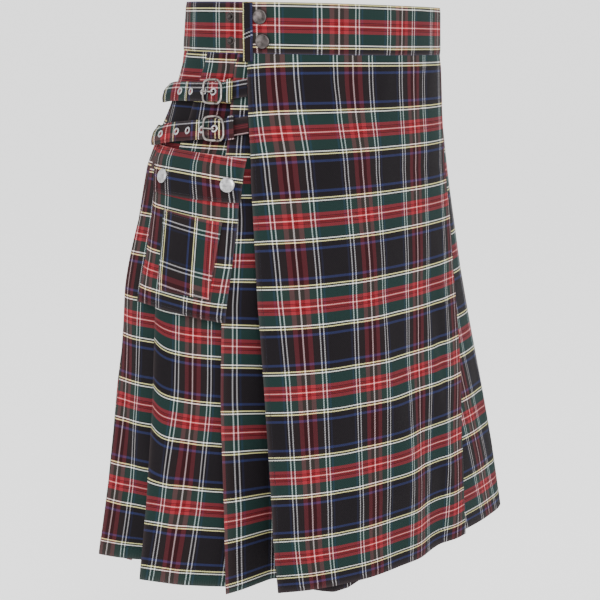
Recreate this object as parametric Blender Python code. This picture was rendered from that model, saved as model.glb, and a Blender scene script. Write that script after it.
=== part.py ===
"""A wrap kilt with knife pleats, built hollow, as a wearer's hips fill it out.

Metres, +Z up. The wearer faces -Y, so the wearer's right is -X. The origin is the centre of the
waist, at half the height of the waistband. Every piece of cloth is a wall of its own thickness.

Places on the kilt are given by three numbers: girth, the distance round the figure from the front
centre line, positive to the wearer's right; height, which is Z; and lift, the distance outwards
from the figure. The cloth runs from the free edge of the under apron round the right hip, the back
and the left hip to the free edge of the over apron, which snaps down at the right front.
"""
import math
from collections import namedtuple
from functools import lru_cache

import bmesh
import bpy
import numpy as np

# ---- driving sizes ----------------------------------------------------------------------------
BAND_DEPTH = 0.052          # waistband, top to bottom
DROP = 0.6145               # whole kilt, top of the band to the hem
SEAM = 0.0003               # clearance between pieces that are sewn or laid together
CLOTH = 0.0012              # wall of one layer of cloth
BAND_CLOTH = 0.0030         # wall of the waistband: two layers and their stiffening
STRAP_CLOTH = 0.0016        # wall of a strap
LAYER = 0.0024              # from one layer of a pressed pleat to the next
CORNER = 2.45               # exponent of the oval: 2 is an ellipse, more is squarer

TOP = BAND_DEPTH / 2
WAIST = -TOP                # bottom of the band, where the skirt is sewn on
HIP = -0.190                # down to here the pleats are stitched flat
THIGH = -0.380
HEM = TOP - DROP

SKIRT_ROWS = (WAIST - SEAM, -0.058, -0.095, -0.135, -0.180, -0.230, -0.290, -0.350, -0.410,
              -0.470, -0.530, HEM)
BAND_DIP = 0.0145           # the worn band dips to the front and to the wearer's left, per metre
HEM_LIFT_RIGHT = 0.0206     # the worn hem rises to the wearer's right, per metre,
HEM_LIFT_FRONT = 0.0344     # and to the front

# The figure under the cloth: an oval for each height.
Oval = namedtuple("Oval", "height half_width half_depth centre_x centre_y")
FIGURE = (
    Oval(0.026, 0.150, 0.118, 0.004, -0.003),
    Oval(-0.026, 0.153, 0.120, 0.003, -0.002),
    Oval(-0.090, 0.170, 0.126, 0.000, 0.004),
    Oval(-0.150, 0.188, 0.134, -0.004, 0.009),
    Oval(-0.280, 0.207, 0.156, -0.006, 0.013),
    Oval(-0.400, 0.222, 0.175, -0.004, 0.012),
    Oval(-0.500, 0.243, 0.184, 0.006, 0.015),
    Oval(-0.600, 0.267, 0.192, 0.022, 0.026),
)

# Folded edges of the pleats, from the front to the back of each side. A place is a share of the
# way from the front centre to the back centre; stand and gape are in metres at the hem.
Fold = namedtuple("Fold", "waist hip thigh hem stand gape")
RIGHT_FOLDS = (
    Fold(0.449, 0.390, 0.384, 0.362, 0.009, 0.002),
    Fold(0.540, 0.545, 0.520, 0.498, 0.014, 0.026),
    Fold(0.640, 0.640, 0.640, 0.609, 0.012, 0.008),
    Fold(0.750, 0.750, 0.750, 0.742, 0.008, 0.004),
    Fold(0.860, 0.858, 0.856, 0.852, 0.009, 0.007),
    Fold(0.975, 0.970, 0.962, 0.952, 0.011, 0.008),
)
LEFT_FOLDS = (
    Fold(0.325, 0.285, 0.260, 0.250, 0.009, 0.005),
    Fold(0.395, 0.378, 0.372, 0.376, 0.011, 0.005),
    Fold(0.510, 0.500, 0.494, 0.492, 0.012, 0.003),
    Fold(0.625, 0.618, 0.612, 0.614, 0.010, 0.006),
    Fold(0.740, 0.736, 0.732, 0.730, 0.012, 0.004),
    Fold(0.858, 0.856, 0.852, 0.846, 0.010, 0.006),
    Fold(0.975, 0.970, 0.962, 0.955, 0.011, 0.008),
)
RIGHT_SPLIT = 3             # the hip panel has this many pleats, and the back panel has the rest
LEFT_SPLIT = 4
RAISED_PLEAT = 2            # this right pleat's hem hangs higher
RAISED_HEM = (0.0090, 0.0040)   # so much at the fold in front of it, and at its own edge
OVERLAP_WAIST = 0.009       # cloth hidden under each folded edge
OVERLAP_HEM = 0.030
FACE_STEPS = 3              # steps across the part of a pleat that shows

# The over apron: girth of its two edges, and how far it lifts off the figure at the hem.
Edge = namedtuple("Edge", "height free folded")
APRON_EDGES = (
    Edge(0.026, 0.187, -0.116),
    Edge(-0.090, 0.185, -0.116),
    Edge(-0.130, 0.184, -0.116),
    Edge(-0.217, 0.189, -0.117),
    Edge(-0.300, 0.194, -0.106),
    Edge(-0.374, 0.200, -0.092),
    Edge(-0.461, 0.208, -0.074),
    Edge(-0.529, 0.215, -0.068),
    Edge(-0.600, 0.219, -0.066),
)
Swell = namedtuple("Swell", "share hem")
APRON_SWELLS = (            # share of the way from the free edge to the folded edge
    Swell(0.00, 0.007), Swell(0.14, 0.007), Swell(0.30, 0.011), Swell(0.42, 0.009),
    Swell(0.55, 0.006), Swell(0.66, 0.006), Swell(0.76, 0.001), Swell(0.84, -0.003),
    Swell(0.93, 0.001), Swell(1.00, 0.002),
)
APRON_STEPS = 18
APRON_LIFT = 0.0010
FIRST_TUCK_WAIST = 0.0052   # how far the first right pleat lies under the over apron
FIRST_TUCK_HEM = 0.034
FOLDED_EDGE_GAPE = 0.003
TUCK_RISE = 0.5             # how much of a pleat's slope the hidden part under it follows
FACE_CURVE = 1.3            # over 1, a face stays low and rises most near its folded edge
UNDER_APRON_LIFT = -0.0046
UNDER_APRON_SINK = -0.003   # and this much more at the hem
UNDER_APRON_EASE = 0.032    # the last stretch, where it sinks to meet the first pleat
UNDER_APRON_DROP = 0.0115   # how far its hem shows under the over apron's
UNDER_APRON_SHOWS = ((0.114, 0.138, 0.165, 0.189), (0.0, 0.8, 1.0, 1.0))   # by girth
UNDER_APRON_END = -0.015    # girth of its free edge, under the over apron
UNDER_APRON_STEPS = 12

BAND_END = 0.1898           # girth of the free end of the waistband
BAND_START = -0.055         # girth of its other end, hidden under it
BAND_LAP = 0.0046           # the over band lies this far outside the under band
BAND_STEP = 0.016
BAND_EASE_START = 0.004     # past the over band's end the under band comes out to its level
BAND_EASE = 0.028
BINDING_GIRTHS = (0.1792, 0.1900)
BINDING_TAIL = 0.008        # the strip runs this far below the band

# Pocket on the right hip.
# The girth of its front and rear side, and how much higher it is at the rear.
Side = namedtuple("Side", "height front rear rise")
POCKET_SIDES = (
    Side(-0.142, 0.195, 0.315, 0.004),
    Side(-0.190, 0.203, 0.321, 0.005),
    Side(-0.240, 0.215, 0.330, 0.007),
    Side(-0.293, 0.228, 0.345, 0.010),
)
POCKET_CLOTH = 0.0015
POCKET_DEPTH = 0.004        # how far its middle stands out
FLAP_EASE = 0.0115
PocketSnap = namedtuple("PocketSnap", "name girth height")
POCKET_SNAPS = (
    PocketSnap("front", 0.2080, -0.1565),
    PocketSnap("rear", 0.2905, -0.1530),
)
POCKET_STEPS = (12, 11)
CENTRE_PANEL_SIDES = (
    Side(-0.190, 0.2175, 0.292, 0.0075),
    Side(-0.272, 0.2405, 0.3055, 0.003),
)
FLAP_SIDES = (
    Side(-0.1268, 0.188, 0.320, 0.006),
    Side(-0.1725, 0.198, 0.311, 0.004),
)

# Straps that come round from the back of the right hip.
Strap = namedtuple("Strap", "name height fall buckle rear holes")
STRAPS = (                  # buckle, rear and holes are girths; fall is per metre of girth
    Strap("upper", -0.0655, 0.035, 0.2235, 0.396, (0.2235, 0.2365, 0.2595, 0.2820)),
    Strap("lower", -0.1020, 0.105, 0.2210, 0.408, (0.2210, 0.2373, 0.2607, 0.2800, 0.3046)),
)
STRAP_WIDTH = 0.0195
STRAP_STEP = 0.0065
STRAP_BULGE = 0.0045        # how far it bows off the cloth behind the holes
BULGE_PLACE = 0.100         # from the buckle to the middle of the bow
TAB_WIDTH = 0.0175
KEEPER_WIDTH = 0.006
KEEPER_PLACE = 0.0185       # from the buckle's bar to the middle of the keeper
KEEPER_CLOTH = 0.0010
BUCKLE_HALF_WIDTH = 0.0121
BUCKLE_HALF_HEIGHT = 0.0119
WIRE = 0.0013               # radius of the buckle's frame
BAR = 0.0010                # radius of its bar
PRONG = 0.0009
HOLE = 0.0021
EYELET = 0.0041
EYELET_HEIGHT = 0.0008

STRAP_TIP = 0.0200          # from the buckle's bar to the strap's free end
TAB_RISE = 0.19             # past its buckle a tab climbs this much per metre
TAB_BEND = 0.0095           # from the buckle's bar to where it starts to climb

CAP = 0.0077                # radius of a snap's cap
CAP_HEIGHT = 0.0030
STUD = 0.0044
STUD_HEIGHT = 0.0026
Snap = namedtuple("Snap", "name height cap_girth stud_girth")
SNAPS = (
    Snap("upper", 0.0106, 0.1710, 0.2088),
    Snap("lower", -0.0139, 0.1685, 0.2080),
)


# ---- the figure -------------------------------------------------------------------------------
@lru_cache(maxsize=None)
def loop(height):
    """Points and outward normals round the figure at a height, with the girth of each."""
    heights = [-row.height for row in FIGURE]
    half_width, half_depth, centre_x, centre_y = (
        np.interp(-height, heights, [getattr(row, column) for row in FIGURE])
        for column in ("half_width", "half_depth", "centre_x", "centre_y"))
    turn = np.linspace(0, 2 * math.pi, 721)
    reach = (np.abs(np.sin(turn) / half_width) ** CORNER
             + np.abs(np.cos(turn) / half_depth) ** CORNER) ** (-1 / CORNER)
    x = centre_x - np.sin(turn) * reach
    y = centre_y - np.cos(turn) * reach
    step_x, step_y = np.gradient(x), np.gradient(y)
    step_x[0] = step_x[-1] = x[1] - x[-2]
    step_y[0] = step_y[-1] = y[1] - y[-2]
    size = np.hypot(step_x, step_y)
    girth = np.concatenate([[0], np.cumsum(np.hypot(np.diff(x), np.diff(y)))])
    return girth, x, y, -step_y / size, step_x / size


def half_round(height):
    """Girth of the back centre line."""
    return loop(round(height, 5))[0][-1] / 2


def place(girth, height, lift=0.0):
    """The point at a girth, height and lift."""
    girths, x, y, normal_x, normal_y = loop(round(height, 5))
    girth = girth % girths[-1]
    out_x, out_y = np.interp(girth, girths, normal_x), np.interp(girth, girths, normal_y)
    point_x = np.interp(girth, girths, x) + lift * out_x
    point_y = np.interp(girth, girths, y) + lift * out_y
    worn = max(0.0, min(1.0, (height - HIP) / (WAIST - HIP)))
    tilt = (worn * BAND_DIP * (point_y - point_x)
            - hang(height) * (HEM_LIFT_RIGHT * point_x + HEM_LIFT_FRONT * point_y))
    return np.array([point_x, point_y, height + tilt])


def between(height, table, column):
    """A column of a table, at a height between its rows."""
    return float(np.interp(-height, [-row.height for row in table],
                           [getattr(row, column) for row in table]))


def hang(height):
    """How freely the cloth hangs at a height: 0 down to the hip, 1 at the hem."""
    return max(0.0, (HIP - height) / (HIP - HEM))


# ---- walls and solids -------------------------------------------------------------------------
def finished(name, mesh, finish):
    """An object from a bmesh, with its faces turned outwards."""
    bmesh.ops.recalc_face_normals(mesh, faces=mesh.faces)
    data = bpy.data.meshes.new(name)
    mesh.to_mesh(data)
    mesh.free()
    data.materials.append(finish)
    data.shade_smooth()
    data.set_sharp_from_angle(angle=math.radians(40))
    thing = bpy.data.objects.new(name, data)
    bpy.context.scene.collection.objects.link(thing)
    return thing


def wall(name, grid, thickness, finish):
    """A closed wall round a grid of points on its middle surface.

    A row of the grid runs along the cloth, and keeps its thickness where it turns.
    """
    grid = np.array(grid)
    rows, columns = grid.shape[:2]
    along = np.diff(grid, axis=1)
    along /= np.linalg.norm(along, axis=2, keepdims=True)
    before = np.concatenate([along[:, :1], along], axis=1)
    after = np.concatenate([along, along[:, -1:]], axis=1)
    down = np.gradient(grid, axis=0)
    out = np.cross(before + after, down)
    out /= np.linalg.norm(out, axis=2, keepdims=True)
    half_turn = np.sqrt(np.clip((1 + (before * after).sum(axis=2, keepdims=True)) / 2, 0.3, 1))
    shift = out * thickness / 2 / half_turn

    mesh = bmesh.new()
    outer = [[mesh.verts.new(point) for point in row] for row in grid + shift]
    inner = [[mesh.verts.new(point) for point in row] for row in grid - shift]
    for i in range(rows - 1):
        for j in range(columns - 1):
            mesh.faces.new((outer[i][j], outer[i + 1][j], outer[i + 1][j + 1], outer[i][j + 1]))
            mesh.faces.new((inner[i][j], inner[i][j + 1], inner[i + 1][j + 1], inner[i + 1][j]))
    rim = ([(0, j) for j in range(columns)] + [(i, columns - 1) for i in range(1, rows)]
           + [(rows - 1, j) for j in range(columns - 2, -1, -1)]
           + [(i, 0) for i in range(rows - 2, 0, -1)])
    for (i, j), (k, m) in zip(rim, rim[1:] + rim[:1]):
        mesh.faces.new((outer[i][j], outer[k][m], inner[k][m], inner[i][j]))
    return finished(name, mesh, finish)


def axes_at(girth, height, lift_at):
    """A point of a surface, with unit vectors along the girth, upwards and outwards there."""
    near = 0.004

    def point(girth, height):
        return place(girth, height, lift_at(girth, height))

    along = point(girth + near, height) - point(girth - near, height)
    up = point(girth, height + near) - point(girth, height - near)
    along /= np.linalg.norm(along)
    up /= np.linalg.norm(up)
    out = np.cross(along, -up)
    out /= np.linalg.norm(out)
    return point(girth, height), along, np.cross(along, out), out


def turned(name, spot, profile, sides, finish, closed=False):
    """A profile of (radius, rise) pairs turned about the outward direction at a spot.

    A spot is a girth, a height and a function that gives the surface's lift there. An open
    profile starts and ends on the axis. A closed one makes a ring.
    """
    origin, along, up, out = axes_at(*spot)
    mesh = bmesh.new()
    rings = []
    for radius, rise in profile:
        if radius == 0:
            rings.append([mesh.verts.new(origin + out * rise)] * sides)
            continue
        ring = []
        for side in range(sides):
            turn = 2 * math.pi * side / sides
            spoke = along * math.cos(turn) + up * math.sin(turn)
            ring.append(mesh.verts.new(origin + spoke * radius + out * rise))
        rings.append(ring)
    pairs = list(zip(rings, rings[1:] + ([rings[0]] if closed else [])))
    for low, high in pairs[:len(profile) if closed else len(profile) - 1]:
        for side in range(sides):
            other = (side + 1) % sides
            corners = []
            for vertex in (low[side], low[other], high[other], high[side]):
                if vertex not in corners:
                    corners.append(vertex)
            mesh.faces.new(corners)
    return finished(name, mesh, finish)


def rod(name, path, radius, sides, finish, closed=False):
    """A round bar along a path of points, with flat ends, or joined end to end."""
    path = [np.array(point) for point in path]
    count = len(path)
    mesh = bmesh.new()
    rings = []
    reference = None
    for i, point in enumerate(path):
        if closed:
            ahead = path[(i + 1) % count] - path[i - 1]
        else:
            ahead = path[min(i + 1, count - 1)] - path[max(i - 1, 0)]
        ahead /= np.linalg.norm(ahead)
        if reference is None:
            reference = np.cross(ahead, (0.0, 0.0, 1.0))
            if np.linalg.norm(reference) < 0.1:
                reference = np.cross(ahead, (1.0, 0.0, 0.0))
        across = reference - ahead * (reference @ ahead)
        across /= np.linalg.norm(across)
        reference = across
        other = np.cross(ahead, across)
        rings.append([mesh.verts.new(point + radius * (across * math.cos(turn)
                                                      + other * math.sin(turn)))
                      for turn in (2 * math.pi * side / sides for side in range(sides))])
    links = list(zip(rings, rings[1:]))
    if closed:
        turn = min(range(sides), key=lambda k: (rings[0][k].co - rings[-1][0].co).length)
        links.append((rings[-1], rings[0][turn:] + rings[0][:turn]))
    else:
        mesh.faces.new(rings[0][::-1])
        mesh.faces.new(rings[-1])
    for low, high in links:
        for side in range(sides):
            other = (side + 1) % sides
            mesh.faces.new((low[side], low[other], high[other], high[side]))
    return finished(name, mesh, finish)


def material(name, colour, roughness, metallic=0.0):
    """A plain finish."""
    made = bpy.data.materials.new(name)
    made.use_nodes = True
    shader = made.node_tree.nodes["Principled BSDF"]
    shader.inputs["Base Color"].default_value = (*colour, 1)
    shader.inputs["Roughness"].default_value = roughness
    shader.inputs["Metallic"].default_value = metallic
    return made


# ---- skirt: two aprons and the pleats ---------------------------------------------------------
Face = namedtuple("Face", "start start_lift front front_lift edge edge_lift")


def face_lift(face, girth):
    """Lift of a pleat's face at a girth: it is hidden up to its front, and rises to its edge."""
    if girth < face.front:
        share = (girth - face.start) / (face.front - face.start)
        return face.start_lift + (face.front_lift - face.start_lift) * share
    share = (girth - face.front) / (face.edge - face.front)
    return face.front_lift + (face.edge_lift - face.front_lift) * share ** FACE_CURVE


def seam_in(face, shift):
    """A place in the hidden part of a face, where two panels are sewn together."""
    girth = (face.start + face.front) / 2 + shift
    return girth, face_lift(face, girth)


def overlap(height):
    """How much cloth lies hidden under each folded edge."""
    return OVERLAP_WAIST + (OVERLAP_HEM - OVERLAP_WAIST) * hang(height)


def apron_lift(height, share):
    """Lift of the over apron, a share of the way from its free to its folded edge."""
    swell = np.interp(share, [row.share for row in APRON_SWELLS],
                      [row.hem for row in APRON_SWELLS])
    return APRON_LIFT + float(swell) * hang(height)


def pleat_faces(side, height):
    """The faces of the pleats on one side (1 is the wearer's right, -1 the left) at a height.

    The first starts under an edge of the over apron. The last is the floor of the box pleat,
    which ends at the back centre.
    """
    hidden = overlap(height)
    if side > 0:
        start = between(height, APRON_EDGES, "free") - hidden
        start_lift = -FIRST_TUCK_WAIST - (FIRST_TUCK_HEM - FIRST_TUCK_WAIST) * hang(height)
        front = start + hidden
    else:
        front = -between(height, APRON_EDGES, "folded")
        start = front - hidden + LAYER / 2
        start_lift = apron_lift(height, 1) - 2 * LAYER - FOLDED_EDGE_GAPE * hang(height)
    front_lift = start_lift
    faces = []
    for fold in RIGHT_FOLDS if side > 0 else LEFT_FOLDS:
        share = np.interp(-height, (-WAIST, -HIP, -THIGH, -HEM),
                          (fold.waist, fold.hip, fold.thigh, fold.hem))
        face = Face(start, start_lift, front, front_lift, float(share) * half_round(height),
                    fold.stand * hang(height))
        faces.append(face)
        slope = face.edge_lift - face_lift(face, face.edge - hidden)
        front = face.edge
        start = face.edge - hidden + LAYER / 2
        start_lift = face.edge_lift - slope - 2 * LAYER - fold.gape * hang(height)
        front_lift = start_lift + TUCK_RISE * slope
    back = half_round(height) - SEAM / 2
    faces.append(Face(start, start_lift, front, start_lift, back, start_lift))
    return faces


def face_stations(face, hidden):
    """Stations along a face, from where it starts out of sight to just short of its edge."""
    inner = face.edge - hidden
    girths = [face.start, face.front]
    girths += [face.front + (inner - face.front) * step / FACE_STEPS
               for step in range(1, FACE_STEPS)]
    girths += [inner, face.edge - LAYER / 2]
    return [(girth, face_lift(face, girth)) for girth in girths]


def turn_stations(face, following, hidden):
    """Stations round a folded edge, back under its face, and round to the following face."""
    turn = LAYER / 2
    inner = face.edge - hidden
    return [(face.edge, face.edge_lift - turn),
            (face.edge - turn, face.edge_lift - LAYER),
            (inner + turn, following.start_lift + LAYER),
            (inner, following.start_lift + turn)]


def hem_rises(face, hidden):
    """How much higher the raised pleat's hem is at each of its stations."""
    across = [(girth - face.front) / (face.edge - face.front)
              for girth, _ in face_stations(face, hidden)]
    front, edge = RAISED_HEM
    rises = [front + (edge - front) * min(1.0, max(0.0, share)) for share in across]
    turns = len(turn_stations(face, face, hidden))
    return rises + [edge * (1 - step / turns) for step in range(turns)]


def pleat_panel(name, side, first, last, finish):
    """The pleats from first up to last on one side, as one length of cloth."""
    grid = []
    for height in SKIRT_ROWS:
        hidden = overlap(height)
        faces = pleat_faces(side, height)
        stations, rises = [], []
        for number in range(first, last):
            face = faces[number]
            round_edge = turn_stations(face, faces[number + 1], hidden)
            stations += face_stations(face, hidden) + round_edge
            raised = side > 0 and number == RAISED_PLEAT and height == HEM
            rises += hem_rises(face, hidden) if raised else [0.0] * (len(stations) - len(rises))
        stations[0] = seam_in(faces[first], SEAM / 2)
        floor = faces[last]
        stations.append((floor.start, floor.start_lift))
        if last == len(faces) - 1:
            middle = (floor.front + floor.edge) / 2
            stations += [(girth, floor.start_lift) for girth in (floor.front, middle, floor.edge)]
        else:
            stations.append(seam_in(floor, -SEAM / 2))
        rises += [0.0] * (len(stations) - len(rises))
        grid.append([place(side * girth, height + rise, lift)
                     for (girth, lift), rise in zip(stations, rises)])
    return wall(name, grid, CLOTH, finish)


def over_apron(finish):
    """The front panel that shows, with its left edge turned under to meet the left pleats."""
    grid = []
    for height in SKIRT_ROWS:
        free = between(height, APRON_EDGES, "free")
        folded = between(height, APRON_EDGES, "folded")
        hidden = overlap(height)
        turn = LAYER / 2
        stations = []
        for step in range(APRON_STEPS + 1):
            share = step / APRON_STEPS
            girth = free + (folded + turn - free) * share
            stations.append((girth, apron_lift(height, share)))
        edge_lift = apron_lift(height, 1)
        first = pleat_faces(-1, height)[0]
        seam_girth, seam_lift = seam_in(first, -SEAM / 2)
        stations += [(folded, edge_lift - turn),
                     (folded + turn, edge_lift - LAYER),
                     (folded + hidden - turn, first.start_lift + LAYER),
                     (folded + hidden, first.start_lift + turn),
                     (-first.start, first.start_lift),
                     (-seam_girth, seam_lift)]
        grid.append([place(girth, height, lift) for girth, lift in stations])
    return wall("over_apron", grid, CLOTH, finish)


def under_apron(finish):
    """The panel under the over apron, sewn to the right pleats and free at the left front."""
    grid = []
    for row in SKIRT_ROWS:
        free = between(row, APRON_EDGES, "free")
        folded = between(row, APRON_EDGES, "folded")
        first = pleat_faces(1, row)[0]
        stations = []
        for step in range(UNDER_APRON_STEPS):
            girth = UNDER_APRON_END + (first.start - UNDER_APRON_END) * step / UNDER_APRON_STEPS
            lift = (apron_lift(row, (free - girth) / (free - folded)) + UNDER_APRON_LIFT
                    + UNDER_APRON_SINK * hang(row))
            near_seam = max(0.0, 1 - (first.start - girth) / UNDER_APRON_EASE)
            stations.append((girth, lift + (first.start_lift - lift) * near_seam))
        stations += [(first.start, first.start_lift), seam_in(first, -SEAM / 2)]
        drop = UNDER_APRON_DROP if row == HEM else 0.0
        grid.append([place(girth, row - drop * float(np.interp(girth, *UNDER_APRON_SHOWS)), lift)
                     for girth, lift in stations])
    return wall("under_apron", grid, CLOTH, finish)


# ---- waistband --------------------------------------------------------------------------------
def under_band_lift(girth):
    """Lift of the under length of the band: it comes out from under the over length."""
    share = max(0.0, min(1.0, (girth - BAND_END - BAND_EASE_START) / BAND_EASE))
    return -BAND_LAP * (1 - share * share * (3 - 2 * share))


def waistband(name, start, end, lift_at, finish):
    """A length of the band. None as an end stands for the seam at the back centre."""
    grid = []
    for height in (TOP, TOP / 3, WAIST / 3, WAIST):
        back = half_round(height) - SEAM / 2
        first = -back if start is None else start
        last = back if end is None else end
        steps = round((half_round(WAIST) + 0.1) / BAND_STEP)
        girths = np.linspace(first, last, steps)
        grid.append([place(girth, height, lift_at(girth)) for girth in girths])
    return wall(name, grid, BAND_CLOTH, finish)


def band_end_binding(finish):
    """The narrow folded strip sewn down the free end of the band, on to the apron."""
    lift = BAND_CLOTH / 2 + SEAM + CLOTH / 2
    heights = np.linspace(TOP - 0.001, WAIST - BINDING_TAIL, 5)
    grid = [[place(girth, height, lift) for girth in np.linspace(*BINDING_GIRTHS, 3)]
            for height in heights]
    return wall("band_end_binding", grid, CLOTH, finish)


def snap_cap(name, spot, finish):
    """A snap's round cap with a low dome."""
    profile = [(0, 0), (CAP * 0.86, 0), (CAP, CAP_HEIGHT * 0.35), (CAP * 0.97, CAP_HEIGHT * 0.7),
               (CAP * 0.8, CAP_HEIGHT * 0.92), (0, CAP_HEIGHT)]
    return turned(name, spot, profile, 16, finish)


def snap_stud(name, spot, finish):
    """The open half of a snap: a base ring with a ball-headed post."""
    profile = [(0, 0), (STUD, 0), (STUD, STUD_HEIGHT * 0.3), (STUD * 0.5, STUD_HEIGHT * 0.4),
               (STUD * 0.42, STUD_HEIGHT * 0.6), (STUD * 0.55, STUD_HEIGHT * 0.85),
               (0, STUD_HEIGHT)]
    return turned(name, spot, profile, 12, finish)


# ---- hip pocket -------------------------------------------------------------------------------
def cover(height):
    """Lift of a surface that just clears the pleats' folded edges."""
    stand = max(fold.stand for fold in RIGHT_FOLDS[:RIGHT_SPLIT + 1])
    return stand * hang(height) + CLOTH / 2 + SEAM


def rise(share, width):
    """0 at both ends of a span and 1 between, over a width at each end."""
    return math.sin(min(1.0, min(share, 1 - share) / width) * math.pi / 2)


def pocket_lift(girth, height):
    """Lift of the pocket's face: pressed flat at its sides and foot, and full in the middle."""
    top, foot = POCKET_SIDES[0].height, POCKET_SIDES[-1].height
    front = between(height, POCKET_SIDES, "front")
    rear = between(height, POCKET_SIDES, "rear")
    across = min(1.0, max(0.0, (girth - front) / (rear - front)))
    down = min(1.0, max(0.0, (height - top) / (foot - top)))
    full = rise(across, 0.16) * rise(0.1 + 0.9 * down, 0.25)
    return cover(height) + POCKET_CLOTH / 2 + POCKET_DEPTH * full


def patch(name, sides, steps, lift_at, thickness, finish):
    """A piece of cloth over the pocket, between sides given for a few heights."""
    columns, rows = steps
    grid = []
    for height in np.linspace(sides[0].height, sides[-1].height, rows + 1):
        front = between(height, sides, "front")
        rear = between(height, sides, "rear")
        rise = between(height, sides, "rise")
        grid.append([place(front + (rear - front) * share, height + rise * (share - 0.5),
                           lift_at(front + (rear - front) * share, height))
                     for share in np.linspace(0, 1, columns + 1)])
    return wall(name, grid, thickness, finish)


def flap_lift(girth, height):
    """Lift of the flap: sewn down at its top, and lying over the pocket."""
    share = max(0.0, min(1.0, (FLAP_SIDES[0].height - height) / FLAP_EASE))
    on_skirt = cover(height) + CLOTH / 2
    on_pocket = pocket_lift(girth, height) + POCKET_CLOTH / 2 + CLOTH / 2 + 2 * SEAM
    return on_skirt + (on_pocket - on_skirt) * share


def pocket(cloth, silver):
    """Pocket, its raised centre panel, its flap, and the flap's two snaps."""
    patch("pocket_body", POCKET_SIDES, POCKET_STEPS, pocket_lift, POCKET_CLOTH, cloth)
    patch("pocket_centre_panel", CENTRE_PANEL_SIDES, (8, 7),
          lambda girth, height: pocket_lift(girth, height) + POCKET_CLOTH + 2 * SEAM,
          POCKET_CLOTH, cloth)
    patch("pocket_flap", FLAP_SIDES, (12, 5), flap_lift, CLOTH, cloth)
    for name, girth, height in POCKET_SNAPS:
        spot = (girth, height,
                lambda girth, height: flap_lift(girth, height) + CLOTH / 2 + 2 * SEAM)
        snap_cap(f"pocket_snap_{name}", spot, silver)


# ---- hip straps -------------------------------------------------------------------------------
TAB_LIFT = CLOTH + SEAM                               # middle of the tab, lying on the pleats
BAR_LIFT = TAB_LIFT + CLOTH / 2 + SEAM + BAR
BUCKLED_LIFT = BAR_LIFT + BAR + SEAM + STRAP_CLOTH / 2     # the strap where it crosses the bar
TIP_LIFT = TAB_LIFT + CLOTH / 2 + SEAM + STRAP_CLOTH / 2   # the strap past the buckle
FLAT_LIFT = CLOTH / 2 + SEAM + STRAP_CLOTH / 2             # the strap on the pleats
RAISED_LIFT = BUCKLED_LIFT + STRAP_CLOTH / 2 + SEAM + EYELET_HEIGHT + SEAM + WIRE


def strap_lift(strap, girth):
    """Lift of a strap along its length."""
    away = girth - strap.buckle
    lift = np.interp(away, (-0.018, -0.012, 0.000, 0.016, 0.050),
                     (TIP_LIFT, TIP_LIFT + 0.001, BUCKLED_LIFT, BUCKLED_LIFT, FLAT_LIFT))
    bow = math.exp(-((away - BULGE_PLACE) / 0.028) ** 2)
    return float(lift) + STRAP_BULGE * bow


def strap_height(strap, girth):
    """Height of the middle of a strap, whose free end climbs with the tab under it."""
    return (strap.height - strap.fall * max(0.0, girth - strap.buckle)
            + TAB_RISE * max(0.0, strap.buckle - TAB_BEND - girth))


def strap_with_holes(strap, finish):
    """The strap's wall, with a round hole through it at each eyelet."""
    tip = strap.buckle - STRAP_TIP
    steps = round((strap.rear - tip) / STRAP_STEP)
    grid = []
    for across in (1, 1 / 3, -1 / 3, -1):
        grid.append([place(girth, strap_height(strap, girth) + across * STRAP_WIDTH / 2,
                           strap_lift(strap, girth))
                     for girth in np.linspace(tip, strap.rear, steps + 1)])
    body = wall(f"strap_{strap.name}", grid, STRAP_CLOTH, finish)
    for index, girth in enumerate(strap.holes):
        spot = (girth, strap_height(strap, girth), lambda girth, height: strap_lift(strap, girth))
        name = f"hole_cutter_{strap.name}_{index}"
        cutter = turned(name, spot, [(0, -0.004), (HOLE, -0.004), (HOLE, 0.004), (0, 0.004)],
                        12, finish)
        cutter.hide_render = True
        cutter.display_type = "WIRE"
        hole = body.modifiers.new(name, "BOOLEAN")
        hole.operation = "DIFFERENCE"
        hole.solver = "EXACT"
        hole.object = cutter
    return body


def eyelets(strap, finish):
    """A flat metal ring round each hole."""
    for index, girth in enumerate(strap.holes):
        spot = (girth, strap_height(strap, girth),
                lambda girth, height: strap_lift(strap, girth) + STRAP_CLOTH / 2 + SEAM)
        profile = [(HOLE, 0), (EYELET, 0), (EYELET * 0.82, EYELET_HEIGHT), (HOLE, EYELET_HEIGHT)]
        turned(f"eyelet_{strap.name}_{index + 1}", spot, profile, 12, finish, closed=True)


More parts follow.
